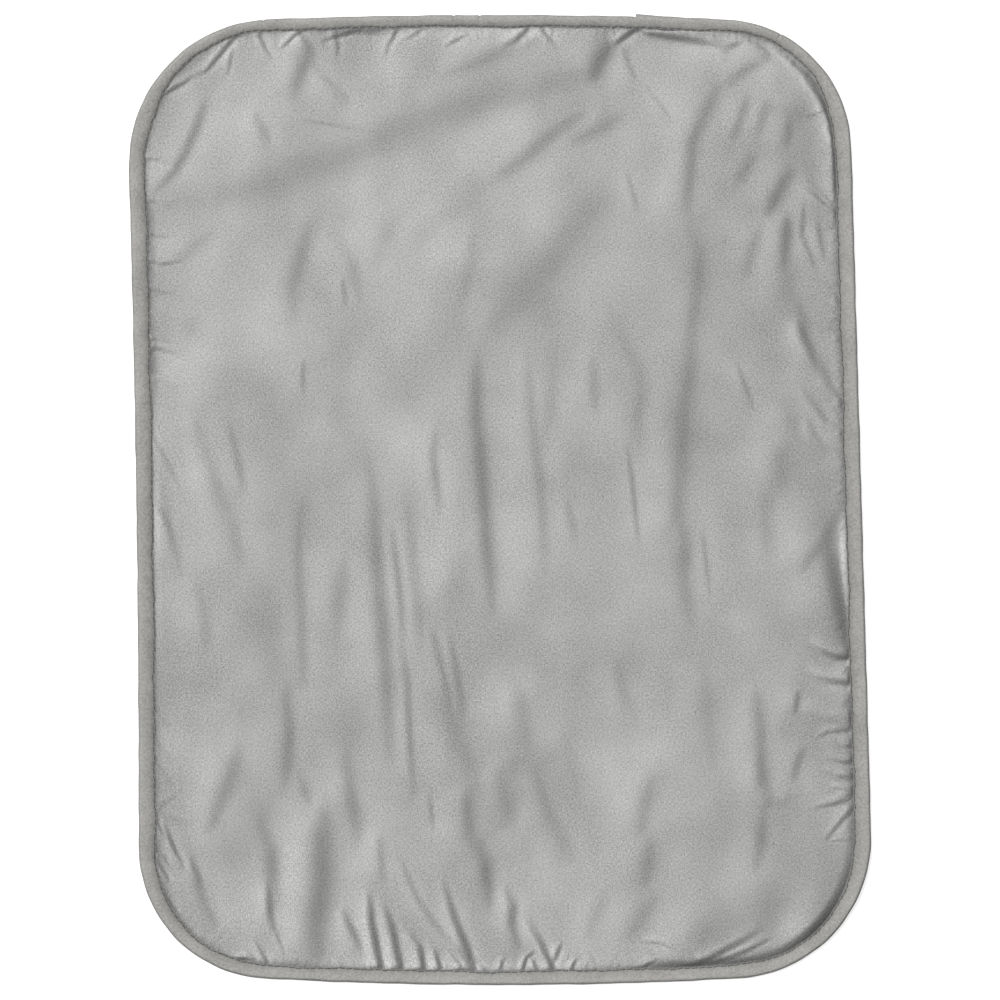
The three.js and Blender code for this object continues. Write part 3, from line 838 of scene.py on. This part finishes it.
def noise(tree, coordinates_from, scale, detail=3.0, stretch=(1, 1, 1), dimensions="3D", rough=0.5):
    mapping = tree.nodes.new("ShaderNodeMapping")
    mapping.inputs["Scale"].default_value = stretch
    texture = tree.nodes.new("ShaderNodeTexNoise")
    texture.noise_dimensions = dimensions
    texture.inputs["Scale"].default_value = scale
    texture.inputs["Detail"].default_value = detail
    texture.inputs["Roughness"].default_value = rough
    link_nodes(
        tree,
        (coordinates_from, mapping.inputs["Vector"]),
        (mapping.outputs["Vector"], texture.inputs["Vector"]),
    )
    return texture.outputs["Fac"]


def threads(tree, coordinates_from, pitch, direction):
    """A row of fine parallel threads at a pitch in metres."""
    wave = tree.nodes.new("ShaderNodeTexWave")
    wave.bands_direction = direction
    wave.inputs["Scale"].default_value = math.pi / 10 / pitch
    wave.inputs["Distortion"].default_value = 1.2
    wave.inputs["Detail"].default_value = 1.0
    wave.inputs["Detail Scale"].default_value = 0.4
    link_nodes(tree, (coordinates_from, wave.inputs["Vector"]))
    return wave.outputs["Fac"]


def combine(tree, operation, first, second):
    node = tree.nodes.new("ShaderNodeMath")
    node.operation = operation
    for socket, value in zip(node.inputs, (first, second)):
        if isinstance(value, (int, float)):
            socket.default_value = value
        else:
            link_nodes(tree, (value, socket))
    return node.outputs["Value"]


def mixed(tree, first, first_share, second, second_share):
    """The sum of two values, each times its share."""
    parts = [combine(tree, "MULTIPLY", first, first_share), combine(tree, "MULTIPLY", second, second_share)]
    return combine(tree, "ADD", *parts)


def shade_between(tree, fac, low, high, dark, light):
    """A colour between dark and light, as a value goes from low to high."""
    ramp = tree.nodes.new("ShaderNodeValToRGB")
    ramp.color_ramp.elements[0].position = low
    ramp.color_ramp.elements[1].position = high
    ramp.color_ramp.elements[0].color = (*dark, 1)
    ramp.color_ramp.elements[1].color = (*light, 1)
    link_nodes(tree, (fac, ramp.inputs["Fac"]))
    return ramp.outputs["Color"]


def shaded(tree, color, stops):
    """A colour with shade and light painted into it, from a value of the piece through stops of value and
    factor.
    """
    value = tree.nodes.new("ShaderNodeAttribute")
    value.attribute_name = "shade"
    ramp = tree.nodes.new("ShaderNodeValToRGB")
    while len(ramp.color_ramp.elements) < len(stops):
        ramp.color_ramp.elements.new(0.5)
    for element, (at, factor) in zip(ramp.color_ramp.elements, stops):
        element.position = at
        element.color = (factor, factor, factor, 1)
    product = tree.nodes.new("ShaderNodeVectorMath")
    product.operation = "MULTIPLY"
    link_nodes(
        tree,
        (value.outputs["Fac"], ramp.inputs["Fac"]),
        (color, product.inputs[0]),
        (ramp.outputs["Color"], product.inputs[1]),
    )
    return product.outputs["Vector"]


def spread(tree, fac, low, high):
    """A value from 0 to 1 taken to the range from low to high."""
    node = tree.nodes.new("ShaderNodeMapRange")
    node.inputs["To Min"].default_value = low
    node.inputs["To Max"].default_value = high
    link_nodes(tree, (fac, node.inputs["Value"]))
    return node.outputs["Result"]


def relief(tree, shader, height, distance):
    bump = tree.nodes.new("ShaderNodeBump")
    bump.inputs["Strength"].default_value = 1.0
    bump.inputs["Distance"].default_value = distance
    link_nodes(tree, (height, bump.inputs["Height"]), (bump.outputs["Normal"], shader.inputs["Normal"]))


def scaled(color, factor):
    return tuple(min(1.0, c * factor) for c in color)


def silver_cotton(color):
    finish, tree, shader, place = new_finish("silver_cotton", color, 0.5)
    shader.inputs["Metallic"].default_value = 0.7
    slubs_across, slubs_along = [
        noise(tree, place, scale=600, detail=2.0, stretch=stretch, dimensions="2D", rough=0.8)
        for stretch in ((1.0, 2.0, 1.0), (2.0, 1.0, 1.0))
    ]
    slubs = combine(tree, "ADD", slubs_across, slubs_along)
    weave = combine(tree, "MAXIMUM", threads(tree, place, 0.00055, "X"), threads(tree, place, 0.0006, "Y"))
    patches = noise(tree, place, 14, 4.0)
    tone = mixed(tree, slubs, 0.5, patches, 0.35)
    shade = shade_between(tree, tone, 0.45, 0.9, scaled(color, 0.5), scaled(color, 1.5))
    # Painted shade: the cover's colour darkens towards the seam beside the tape.
    shade = shaded(tree, shade, [(0.0, 0.62), (0.25, 0.78), (0.6, 0.92), (1.0, 1.0)])
    gloss = spread(tree, patches, 0.44, 0.49)
    link_nodes(tree, (shade, shader.inputs["Base Color"]), (gloss, shader.inputs["Roughness"]))
    relief(tree, shader, combine(tree, "ADD", combine(tree, "MULTIPLY", weave, 0.35), slubs), 0.00006)
    return finish


def felted_tape(color):
    finish, tree, shader, place = new_finish("binding_tape", color, 0.85)
    shader.inputs["Sheen Weight"].default_value = 0.15
    fluff = noise(tree, place, 700, 4.0)
    patches = noise(tree, place, 60, 3.0)
    tone = mixed(tree, fluff, 0.7, patches, 0.3)
    shade = shade_between(tree, tone, 0.3, 0.7, scaled(color, 0.70), scaled(color, 1.30))
    # Painted shade and light across the tape's section: darker by the stitches and at the outer rim, a little
    # lighter on the crest.
    upper = [(0.0, 0.72), (0.06, 0.62), (0.1, 0.74), (0.15, 0.86), (0.2, 0.95), (0.28, 1.04), (0.5, 0.6)]
    lower = [(1 - at, factor) for at, factor in reversed(upper[:-1])]
    shade = shaded(tree, shade, upper + lower)
    link_nodes(tree, (shade, shader.inputs["Base Color"]))
    relief(tree, shader, fluff, 0.0002)
    return finish


def sewing_thread(color):
    finish, tree, shader, place = new_finish("sewing_thread", color, 0.6)
    twist = noise(tree, place, 1800, 2.0)
    shade = shade_between(tree, twist, 0.3, 0.7, scaled(color, 0.7), scaled(color, 1.3))
    link_nodes(tree, (shade, shader.inputs["Base Color"]))
    relief(tree, shader, twist, 0.0001)
    return finish


def plain_cotton(color):
    finish, tree, shader, place = new_finish("backing_cotton", color, 0.9)
    warp = threads(tree, place, 0.0007, "X")
    weft = threads(tree, place, 0.0007, "Y")
    weave = combine(tree, "MAXIMUM", warp, weft)
    patches = noise(tree, place, 40, 4.0)
    tone = mixed(tree, weave, 0.4, patches, 0.6)
    shade = shade_between(tree, tone, 0.3, 0.8, scaled(color, 0.84), scaled(color, 1.1))
    link_nodes(tree, (shade, shader.inputs["Base Color"]))
    relief(tree, shader, weave, 0.0002)
    return finish


def fibre_wadding(color):
    finish, tree, shader, place = new_finish("fibre_wadding", color, 0.95)
    fibres_across = noise(tree, place, 220, 5.0, (1, 5, 1))
    fibres_along = noise(tree, place, 220, 5.0, (5, 1, 1))
    fibres = combine(tree, "MAXIMUM", fibres_across, fibres_along)
    shade = shade_between(tree, fibres, 0.4, 0.7, scaled(color, 0.85), scaled(color, 1.1))
    link_nodes(tree, (shade, shader.inputs["Base Color"]))
    relief(tree, shader, fibres, 0.0006)
    return finish


def add_painted_shade(piece, values):
    """A value for each vertex that the piece's finish reads to paint shade and light into its colour."""
    layer = piece.data.attributes.new("shade", "FLOAT", "POINT")
    layer.data.foreach_set("value", np.asarray(values, dtype=np.float32))


def place_piece(piece, node, finish):
    piece.data.materials.clear()
    piece.data.materials.append(finish)
    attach(piece, "root")
    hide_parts(node)


def cover_heights(plan, inside, sizes):
    """Height of the padded cover with its broad folds and swells."""
    seam_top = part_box("top_cover")[0][2] + sizes.cloth_thickness
    half = 0.5 * np.array((sizes.foot_width, sizes.side_length))
    shoulder = sizes.shoulder_rise + plan @ (np.array(sizes.shoulder_lean) / half)
    rise = shoulder * ease_out(inside / sizes.shoulder_run)
    crown = sizes.crown_rise * ease_out(inside / sizes.crown_run)
    folds = fold_heights(plan, on_pad(BROAD_FOLDS)) * ease_out((inside + FOLD_START) / FOLD_RUN)
    swells = swell_heights(plan) * ease_out(inside / SWELL_RUN)
    return seam_top + rise + crown + folds + swells


def tape_seats(sizes):
    """Heights at which the inner faces of the tape's upper and lower legs lie."""
    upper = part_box("top_cover")[0][2] + sizes.cloth_thickness + PLY_GAP
    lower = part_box("backing_cloth")[1][2] - sizes.cloth_thickness - PLY_GAP
    return upper, lower


class PAD_OT_cover(bpy.types.Operator):
    """Silver cover, settled in folds over the wadding"""

    bl_idname = "ironing_pad.cover"
    bl_label = "Silver cover"

    # Cells of the upper face, and how far below it the lower face stays until both have their heights.
    GRID = (148, 136)
    APART = 0.01

    # Folds narrower than these, in mm, get smaller faces out to a reach in widths.
    FINER_BELOW = 14
    FINEST_BELOW = 3.2
    FINER_REACH = 1.5

    # Widths beside the tape in which the settling, the creases and the painted shade by the seam come in.
    SETTLED_RUN = 0.025
    CREASE_RUN = 0.003
    PAINTED_SHADE_RUN = 0.005

    # Spare thickness in which the creases run.
    SPARE = 0.0005

    def execute(self, context):
        sizes = context.scene.pad_sizes
        edge = BoundEdge(sizes)
        across, along = self.GRID
        plan = cloth_plan(edge, CUT_EDGE_INSET, across, along).reshape(-1, 2)
        moved = np.zeros(len(plan))
        inside = edge.inside(plan)
        laid = np.column_stack((plan, cover_heights(plan, inside, sizes)))
        moved = settled_movement(laid, across + 1, along + 1, edge, sizes)[:, 2]
        moved *= smoothstep(0.0, self.SETTLED_RUN, inside)
        piece = self.flat_ply(np.column_stack((plan, moved)), across, along)
        creases = on_pad(CREASES)
        gathers = carried_under(on_pad(GATHERS), edge) + seam_puckers(edge, sizes, COVER_SEED)
        broad = [fold for fold in on_pad(BROAD_FOLDS) if fold[1] < self.FINER_BELOW]
        finest = [fold for fold in creases + gathers if fold[1] < self.FINEST_BELOW]
        halve_near(piece, broad + creases + gathers, self.FINER_REACH)
        halve_near(piece, finest, self.FINER_REACH)
        points = coordinates(piece)
        below = points[:, 2] < -0.5 * self.APART
        inside = edge.inside(points[:, :2])
        points[:, 2] += cover_heights(points[:, :2], inside, sizes)
        fine = fold_heights(points[:, :2], creases)
        fine += fold_heights(points[:, :2], gathers, hollow=0.45, swell=1.6, recovery=1.2)
        points[:, 2] += fine * ease_out((inside + FOLD_START) / self.CREASE_RUN) * ~below
        spare = self.SPARE * ease_out(inside / self.CREASE_RUN)
        points[below, 2] += self.APART - sizes.cloth_thickness - spare[below]
        set_coordinates(piece, points)
        # Painted shade on the cover, darkest at the seam and gone 5 mm inside it.
        add_painted_shade(piece, np.clip(inside / self.PAINTED_SHADE_RUN, 0, 1))
        place_piece(piece, "top_cover", silver_cotton(context.scene.pad_finishes.cover))
        return {"FINISHED"}

    def flat_ply(self, top, across, along):
        """The cover's upper grid, a coarser grid below it, and the faces that close their border."""
        columns, rows = across + 1, along + 1
        low_columns, low_rows = across // 2 + 1, along // 2 + 1
        under = top.reshape(rows, columns, 3)[::2, ::2].reshape(-1, 3) - np.array((0, 0, self.APART))
        count = len(top)
        faces = grid_faces(columns, rows) + grid_faces(low_columns, low_rows, count, True)
        border = grid_border(columns, rows)
        low_border = [count + i for i in grid_border(low_columns, low_rows)]
        for k, low in enumerate(low_border):
            upper = [border[(2 * k + j) % len(border)] for j in range(3)]
            faces.append((low, low_border[(k + 1) % len(low_border)], *reversed(upper)))
        return make_object("silver_cover", np.concatenate((top, under)), faces)


class PAD_OT_wadding(bpy.types.Operator):
    """Fibre wadding between the cover and the backing"""

    bl_idname = "ironing_pad.wadding"
    bl_label = "Wadding"

    GRID = (112, 144)
    EDGE_INSET = 0.0034

    # Clearance below the cover at the seam, and the further clearance that comes in beside it.
    CLEARANCE = 0.00045
    FURTHER_CLEARANCE = 0.0012
    FURTHER_RUN = 0.010

    # Height of the underside above the table, and least thickness.
    UNDERSIDE = 0.0008
    THINNEST = 0.0002

    def execute(self, context):
        sizes = context.scene.pad_sizes
        edge = BoundEdge(sizes)
        across, along = self.GRID
        plan = cloth_plan(edge, self.EDGE_INSET, across, along).reshape(-1, 2)
        inside = edge.inside(plan)
        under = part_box("backing_cloth")[1][2]
        inner = ease_out(inside / sizes.backing_run)
        further = self.FURTHER_CLEARANCE * ease_out(inside / self.FURTHER_RUN)
        clear = sizes.cloth_thickness + self.CLEARANCE + further
        low = (under + PLY_GAP) * (1 - inner) + self.UNDERSIDE * inner
        top = np.maximum(cover_heights(plan, inside, sizes) - clear, low + self.THINNEST)
        count = len(plan)
        border = grid_border(across + 1, along + 1)
        faces = grid_faces(across + 1, along + 1) + grid_faces(across + 1, along + 1, count, True)
        for a, b in zip(border, border[1:] + border[:1]):
            faces.append((a, a + count, b + count, b))
        points = np.concatenate((np.column_stack((plan, top)), np.column_stack((plan, low))))
        piece = make_object("fibre_wadding", points, faces)
        place_piece(piece, "wadding", fibre_wadding(context.scene.pad_finishes.wadding))
        return {"FINISHED"}


class PAD_OT_backing(bpy.types.Operator):
    """Plain cotton backing that the pad lies on"""

    bl_idname = "ironing_pad.backing"
    bl_label = "Backing"

    GRID = (150, 190)

    # The puckers begin this far below the tape and reach their height within this width.
    PUCKER_START = 0.001
    PUCKER_RUN = 0.004

    def execute(self, context):
        sizes = context.scene.pad_sizes
        edge = BoundEdge(sizes)
        across, along = self.GRID
        plan = cloth_plan(edge, CUT_EDGE_INSET, across, along).reshape(-1, 2)
        inside = edge.inside(plan)
        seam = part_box("backing_cloth")[1][2] - sizes.cloth_thickness
        height = seam * (1 - ease_out(inside / sizes.backing_run))
        puckers = fold_heights(plan, seam_puckers(edge, sizes, BACKING_SEED))
        height += puckers * ease_out((inside + self.PUCKER_START) / self.PUCKER_RUN)
        points = np.column_stack((plan, np.maximum(height, 0.0)))
        piece = make_object("backing", points, grid_faces(across + 1, along + 1, 0, True))
        thicken(piece, sizes.cloth_thickness)
        finish = plain_cotton(context.scene.pad_finishes.backing)
        place_piece(piece, "backing_cloth", finish)
        return {"FINISHED"}


class TapeRun:
    """The tape's place, growth over its lap and little unevennesses along the bound edge."""

    # Kinks: depth, width, and how far about each so many more stations lie.
    KINK_DEPTH = 0.0007
    KINK_WIDTH = 0.0008
    KINK_REACH = 0.0018
    KINK_STATIONS = 9

    # How far the last end sticks out, and the length in which it does.
    FLARE = 0.0013
    FLARE_RUN = 0.009

    # The tape has climbed this far before its first end, and its last end presses this far past itself.
    CLIMBED_BEFORE = 0.0005
    PRESSED_PAST = 0.0006

    # Waves of the tape's outer side and of its inner edge: share, count in one round, and phase.
    OUTER_HEIGHT = 0.00012
    OUTER_WAVES = [(1.0, 37, 1.0), (1.0, 61, 2.2), (0.7, 113, 0.0)]
    INNER_HEIGHT = 0.00032
    INNER_WAVES = [
        (1.0, 17, 0.0), (1.0, 31, 0.6), (0.6, 53, 2.0), (0.5, 101, 0.3), (0.5, 173, 1.1), (0.4, 257, 0.0)
    ]

    def __init__(self, edge, sizes):
        self.edge = edge
        self.stitches = round(edge.length / sizes.stitch_pitch)
        self.pitch = edge.length / self.stitches
        shift = edge.shift[0]
        self.first = edge.head_distance(sizes.lap_x + sizes.lap_length + shift)
        self.climb = edge.head_distance(sizes.lap_x + sizes.lap_length + sizes.lap_ramp + shift) + edge.length
        self.last = edge.head_distance(sizes.lap_x + shift) + edge.length
        self.growth = sizes.tape_thickness + PLY_GAP
        self.kinks = [edge.nearest(chart_point(place)) for place in TAPE_KINKS]

    def stations(self, step):
        """Distances from the tape's first end to its last, closer together about the kinks."""
        even = np.linspace(self.first, self.last, int((self.last - self.first) / step))
        middle, length = 0.5 * (self.first + self.last), self.edge.length
        kinks = [at + length * round((middle - at) / length) for at in self.kinks]
        offsets = np.linspace(-self.KINK_REACH, self.KINK_REACH, self.KINK_STATIONS)
        closer = [at + offset for at in kinks for offset in offsets]
        return np.unique(np.concatenate((even, closer)))

    def lift(self, distance):
        """How far the tape is carried outwards by its own first end."""
        full = self.first + self.edge.length - self.CLIMBED_BEFORE
        return self.growth * smoothstep(self.climb, full, distance)

    def flare(self, distance):
        """How far the tape's last end sticks out."""
        return self.FLARE * np.exp(-np.abs(self.last - distance) / self.FLARE_RUN)

    def dent(self, distance):
        """Depth of the kinks across the tape, and of the line where its last end presses on it."""
        length = self.edge.length
        under_end = self.last - length + self.PRESSED_PAST
        places = [*self.kinks, under_end]
        around = [(distance - at + 0.5 * length) % length - 0.5 * length for at in places]
        return sum(self.KINK_DEPTH * np.exp(-((away / self.KINK_WIDTH) ** 2)) for away in around)

    def wander(self, distance, waves):
        """Sum of waves that close on themselves round the edge."""
        turns = 2 * math.pi * distance / self.edge.length
        return sum(share * np.sin(count * turns + phase) for share, count, phase in waves)

    def unevenness(self, distance):
        """How far the tape's outer side lies in or out."""
        return self.OUTER_HEIGHT * self.wander(distance, self.OUTER_WAVES)

    def reach(self, distance, y):
        """Width of the tape's upper face, a little uneven."""
        return self.edge.tape_reach(y) + self.INNER_HEIGHT * self.wander(distance, self.INNER_WAVES)


class PAD_OT_binding(bpy.types.Operator):
    """Tape folded over the pad's edge, lapped on the head side"""

    bl_idname = "ironing_pad.binding"
    bl_label = "Edge binding"

    # Spacing of the sections, points round the nose, and a point of the lip this far from the stitches.
    STATION_STEP = 0.0016
    NOSE_POINTS = 15
    LIP = 0.0008

    # Shares of the tape's flat at which its section has points, from the stitches to the nose.
    ROLL = np.array((1.0, 0.88, 0.75, 0.6, 0.4, 0.2))

    # Groove along the stitches: width, depth, and further depth at the holes. That begins at this share
    # of the way from a stitch's middle to its hole.
    GROOVE_WIDTH = 0.0009
    GROOVE_DEPTH = 0.00030
    HOLE_DEPTH = 0.00025
    HOLE_FROM = 0.6

    # Shares of the unevenness that go inwards and upwards.
    UNEVEN_IN = 0.8
    UNEVEN_UP = 0.5

    def execute(self, context):
        sizes = context.scene.pad_sizes
        edge = BoundEdge(sizes)
        run = TapeRun(edge, sizes)
        places = run.stations(self.STATION_STEP)
        count = len(places)
        half = sizes.tape_thickness / 2
        upper_seat, lower_seat = tape_seats(sizes)
        upper, lower = upper_seat + half, lower_seat - half
        line = self.section_line(sizes, upper, lower)
        normals = self.normals(line)
        ring = np.concatenate((line + normals * half, (line - normals * half)[::-1]))
        growth_ring = np.concatenate((normals, normals[::-1]))
        base, _, outward = edge.at(places)
        lift = run.lift(places)
        uneven = run.unevenness(places)
        dent = run.dent(places)
        nose = sizes.nose_depth
        stretch = (run.reach(places, base[:, 1]) - nose) / (sizes.tape_width - nose)
        rows = []
        stitch = sizes.tape_width - sizes.stitch_margin
        phase = np.abs(((places / run.pitch) % 1.0) - 0.5) * 2
        for (inset, height), (push_in, push_up) in zip(ring, growth_ring):
            near_stitch = math.exp(-(((inset - stitch) / self.GROOVE_WIDTH) ** 2))
            side = 1.0 if height > 0.5 * (upper + lower) else -1.0
            depth = self.GROOVE_DEPTH + self.HOLE_DEPTH * smoothstep(self.HOLE_FROM, 1.0, phase)
            groove = -side * near_stitch * depth
            edge_share = np.clip(1 - inset / stitch, 0, 1)
            local = np.where(inset > nose, nose + (inset - nose) * stretch, inset)
            inwards = uneven * self.UNEVEN_IN + dent - run.flare(places)
            upwards = uneven * self.UNEVEN_UP - dent * math.sqrt(edge_share)
            at_inset = local + push_in * lift + inwards * edge_share
            at_height = height + push_up * lift + groove + side * upwards
            xy = base - outward * at_inset[:, None]
            rows.append(np.column_stack((xy, at_height)))
        points = np.stack(rows, axis=1).reshape(-1, 3)
        size = len(ring)
        faces = []
        for r in range(count - 1):
            for k in range(size):
                a, b = r * size + k, r * size + (k + 1) % size
                faces.append((a, b, b + size, a + size))
        end = (count - 1) * size
        for k in range(size // 2 - 1):
            cap = (k, size - 1 - k, size - 2 - k, k + 1)
            faces.append(cap)
            faces.append(tuple(end + i for i in cap[::-1]))
        piece = make_object("binding_tape", points, faces)
        # Shares across the tape's section, from the upper inner edge round the nose, that place its painted
        # shade and light.
        across = np.concatenate((np.linspace(0, 1, size // 2), np.linspace(1, 0, size // 2)))
        add_painted_shade(piece, np.tile(across, count))
        finish = felted_tape(context.scene.pad_finishes.tape)
        place_piece(piece, "edge_binding", finish)
        return {"FINISHED"}

    def section_line(self, sizes, upper, lower):
        """The tape's middle line in section, from its upper inner edge round the nose to its lower one."""
        stitch = sizes.tape_width - sizes.stitch_margin
        reach = sizes.nose_depth - sizes.tape_thickness / 2
        middle = (upper + lower) / 2
        angles = np.radians(np.linspace(90, -90, self.NOSE_POINTS))
        swell = np.where(angles > 0, upper - middle + sizes.tape_crest, middle - lower + sizes.under_crest)
        nose = np.stack((sizes.nose_depth - reach * np.cos(angles), middle + swell * np.sin(angles)), axis=1)
        lip = (sizes.tape_width, stitch + self.LIP)
        insets = np.concatenate((lip, sizes.nose_depth + (stitch - sizes.nose_depth) * self.ROLL))
        share = np.concatenate(((0.0, 0.0), 1 - self.ROLL**2))
        upper_leg = np.stack((insets, upper + sizes.tape_crest * share), axis=1)
        lower_leg = np.stack((insets, lower - sizes.under_crest * share), axis=1)[::-1]
        return np.concatenate((upper_leg, nose, lower_leg))

    @staticmethod
    def normals(line):
        """Outward normals of a section's line."""
        ahead = np.gradient(line, axis=0)
        ahead /= np.linalg.norm(ahead, axis=1)[:, None]
        return np.stack((ahead[:, 1], -ahead[:, 0]), axis=1)


class PAD_OT_stitches(bpy.types.Operator):
    """Lockstitch that holds the tape: needle thread above, bobbin thread below"""

    bl_idname = "ironing_pad.stitches"
    bl_label = "Stitches"

    # Places of the rings in one stitch, as shares of it, and sides of a ring.
    RINGS = np.array((0.0, 0.07, 0.16, 0.30, 0.50, 0.70, 0.84, 0.93))
    SIDES = 6

    # Depth of the thread in its hole, its rise from there, the share of a stitch in which it rises, and
    # how far each stitch slants.
    HOLE_DEPTH = 0.0009
    HOLE_RISE = 0.0008
    RISE_SHARE = 0.18
    SLANT = 0.000132

    def execute(self, context):
        sizes = context.scene.pad_sizes
        edge = BoundEdge(sizes)
        run = TapeRun(edge, sizes)
        finish = sewing_thread(context.scene.pad_finishes.thread)
        half = sizes.thread_diameter / 2
        upper_seat, lower_seat = tape_seats(sizes)
        for name, node, surface, side in (
            ("needle_stitches", "needle_thread", upper_seat + sizes.tape_thickness, 1.0),
            ("bobbin_stitches", "bobbin_thread", lower_seat - sizes.tape_thickness, -1.0),
        ):
            piece = self.thread_row(name, edge, run, sizes, surface, side, half)
            place_piece(piece, node, finish)
        return {"FINISHED"}

    def thread_row(self, name, edge, run, sizes, surface, side, half):
        """One thread that lies on the tape for most of each stitch and dives into it at the holes."""
        t = np.tile(self.RINGS, run.stitches)
        places = (np.repeat(np.arange(run.stitches), len(self.RINGS)) + t) * run.pitch
        rise = smoothstep(0.0, self.RISE_SHARE, np.minimum(t, 1 - t))
        wrapped = places + edge.length
        lift = np.where(wrapped > run.last, run.lift(places), run.lift(wrapped))
        height = surface + side * (lift - self.HOLE_DEPTH + rise * (self.HOLE_RISE + half))
        slant = self.SLANT * np.sin(2 * math.pi * (t - 0.5))
        base, _, outward = edge.at(places)
        stitch = run.reach(places, base[:, 1]) - sizes.stitch_margin
        centre = np.column_stack((base - outward * (stitch + slant)[:, None], height))
        sides = self.SIDES
        rows = []
        for k in range(sides):
            angle = 2 * math.pi * k / sides
            across = outward * (math.cos(angle) * half)
            rows.append(centre + np.column_stack((across, np.full(len(places), math.sin(angle) * half))))
        points = np.stack(rows, axis=1).reshape(-1, 3)
        faces = []
        count = len(places)
        for r in range(count):
            here, ahead = r * sides, (r + 1) % count * sides
            for k in range(sides):
                beside = (k + 1) % sides
                faces.append((here + k, ahead + k, ahead + beside, here + beside))
        return make_object(name, points, faces)


class PAD_OT_stage(bpy.types.Operator):
    """Pale floor, soft light and a camera straight above the pad"""

    bl_idname = "ironing_pad.stage"
    bl_label = "Stage"

    # The floor: its size, how far it lies below the pad, and its glow.
    FLOOR_SIZE = 12
    FLOOR_DROP = 0.0003
    FLOOR_GLOW = 0.8

    # Strength of the sky, width of the lamps, and the place and power of each lamp.
    SKY_STRENGTH = 0.10
    LAMP_SIZE = 12.0
    LAMPS = {
        "side_light": ((-16.4, 5.3, 38.4), 8700.0),
        "head_light": ((-4.8, 28.8, 28.8), 6600.0),
    }

    # The camera's focal length and sensor in mm, size of the chart, and height at which its scale holds.
    FOCAL_LENGTH = 800
    SENSOR_WIDTH = 36
    CHART_SIZE = 1000
    CHART_HEIGHT = 0.0035

    def execute(self, context):
        scene = context.scene
        scene.view_settings.view_transform = "Standard"
        bpy.ops.mesh.primitive_plane_add(size=self.FLOOR_SIZE, location=(0, 0, -self.FLOOR_DROP))
        floor = context.object
        floor.name = "floor"
        floor.data.materials.append(self.floor_finish())
        self.world(scene)
        for name, (place, power) in self.LAMPS.items():
            self.lamp(name, place, power)
        lens = bpy.data.cameras.new("camera")
        lens.lens = self.FOCAL_LENGTH
        lens.sensor_width = self.SENSOR_WIDTH
        camera = bpy.data.objects.new("camera", lens)
        away = self.CHART_SIZE * CHART_UNIT * lens.lens / lens.sensor_width
        camera.location = (0, 0, away + self.CHART_HEIGHT)
        scene.collection.objects.link(camera)
        scene.camera = camera
        return {"FINISHED"}

    def floor_finish(self):
        finish = bpy.data.materials.new("pale_floor")
        finish.use_nodes = True
        tree = finish.node_tree
        shader = tree.nodes["Principled BSDF"]
        shader.inputs["Base Color"].default_value = (0.6, 0.6, 0.6, 1)
        shader.inputs["Roughness"].default_value = 0.9
        shader.inputs["Emission Color"].default_value = (1, 1, 1, 1)
        path = tree.nodes.new("ShaderNodeLightPath")
        seen = combine(tree, "MAXIMUM", path.outputs["Is Camera Ray"], path.outputs["Is Glossy Ray"])
        glow = combine(tree, "MULTIPLY", seen, self.FLOOR_GLOW)
        link_nodes(tree, (glow, shader.inputs["Emission Strength"]))
        return finish

    def world(self, scene):
        world = bpy.data.worlds.new("studio")
        scene.world = world
        world.use_nodes = True
        sky = world.node_tree.nodes["Background"]
        sky.inputs["Color"].default_value = (1, 1, 1, 1)
        sky.inputs["Strength"].default_value = self.SKY_STRENGTH

    def lamp(self, name, place, power):
        light = bpy.data.lights.new(name, "AREA")
        light.shape = "DISK"
        light.size = self.LAMP_SIZE
        light.energy = power
        lamp = bpy.data.objects.new(name, light)
        lamp.location = place
        lamp.rotation_euler = (-Vector(place)).to_track_quat("-Z", "Y").to_euler()
        bpy.context.scene.collection.objects.link(lamp)


class PAD_PT_panel(bpy.types.Panel):
    """Sizes, colours and pieces of the ironing pad"""

    bl_idname = "PAD_PT_panel"
    bl_label = "Ironing pad"
    bl_space_type = "VIEW_3D"
    bl_region_type = "UI"
    bl_category = "Ironing pad"

    def draw(self, context):
        for group in (context.scene.pad_sizes, context.scene.pad_finishes):
            for name in group.__annotations__:
                self.layout.prop(group, name)
        for piece in PIECES:
            self.layout.operator(piece.bl_idname)


PIECES = (PAD_OT_stage, PAD_OT_backing, PAD_OT_wadding, PAD_OT_cover, PAD_OT_binding, PAD_OT_stitches)
CLASSES = (PadSizes, PadFinishes, *PIECES, PAD_PT_panel)


def register():
    for item in CLASSES:
        bpy.utils.register_class(item)
    bpy.types.Scene.pad_sizes = PointerProperty(type=PadSizes)
    bpy.types.Scene.pad_finishes = PointerProperty(type=PadFinishes)


def unregister():
    del bpy.types.Scene.pad_finishes
    del bpy.types.Scene.pad_sizes
    for item in reversed(CLASSES):
        bpy.utils.unregister_class(item)


def main():
    register()
    bpy.ops.ironing_pad.stage()
    bpy.ops.ironing_pad.backing()
    bpy.ops.ironing_pad.wadding()
    bpy.ops.ironing_pad.cover()
    bpy.ops.ironing_pad.binding()
    bpy.ops.ironing_pad.stitches()


if __name__ == "__main__":
    main()
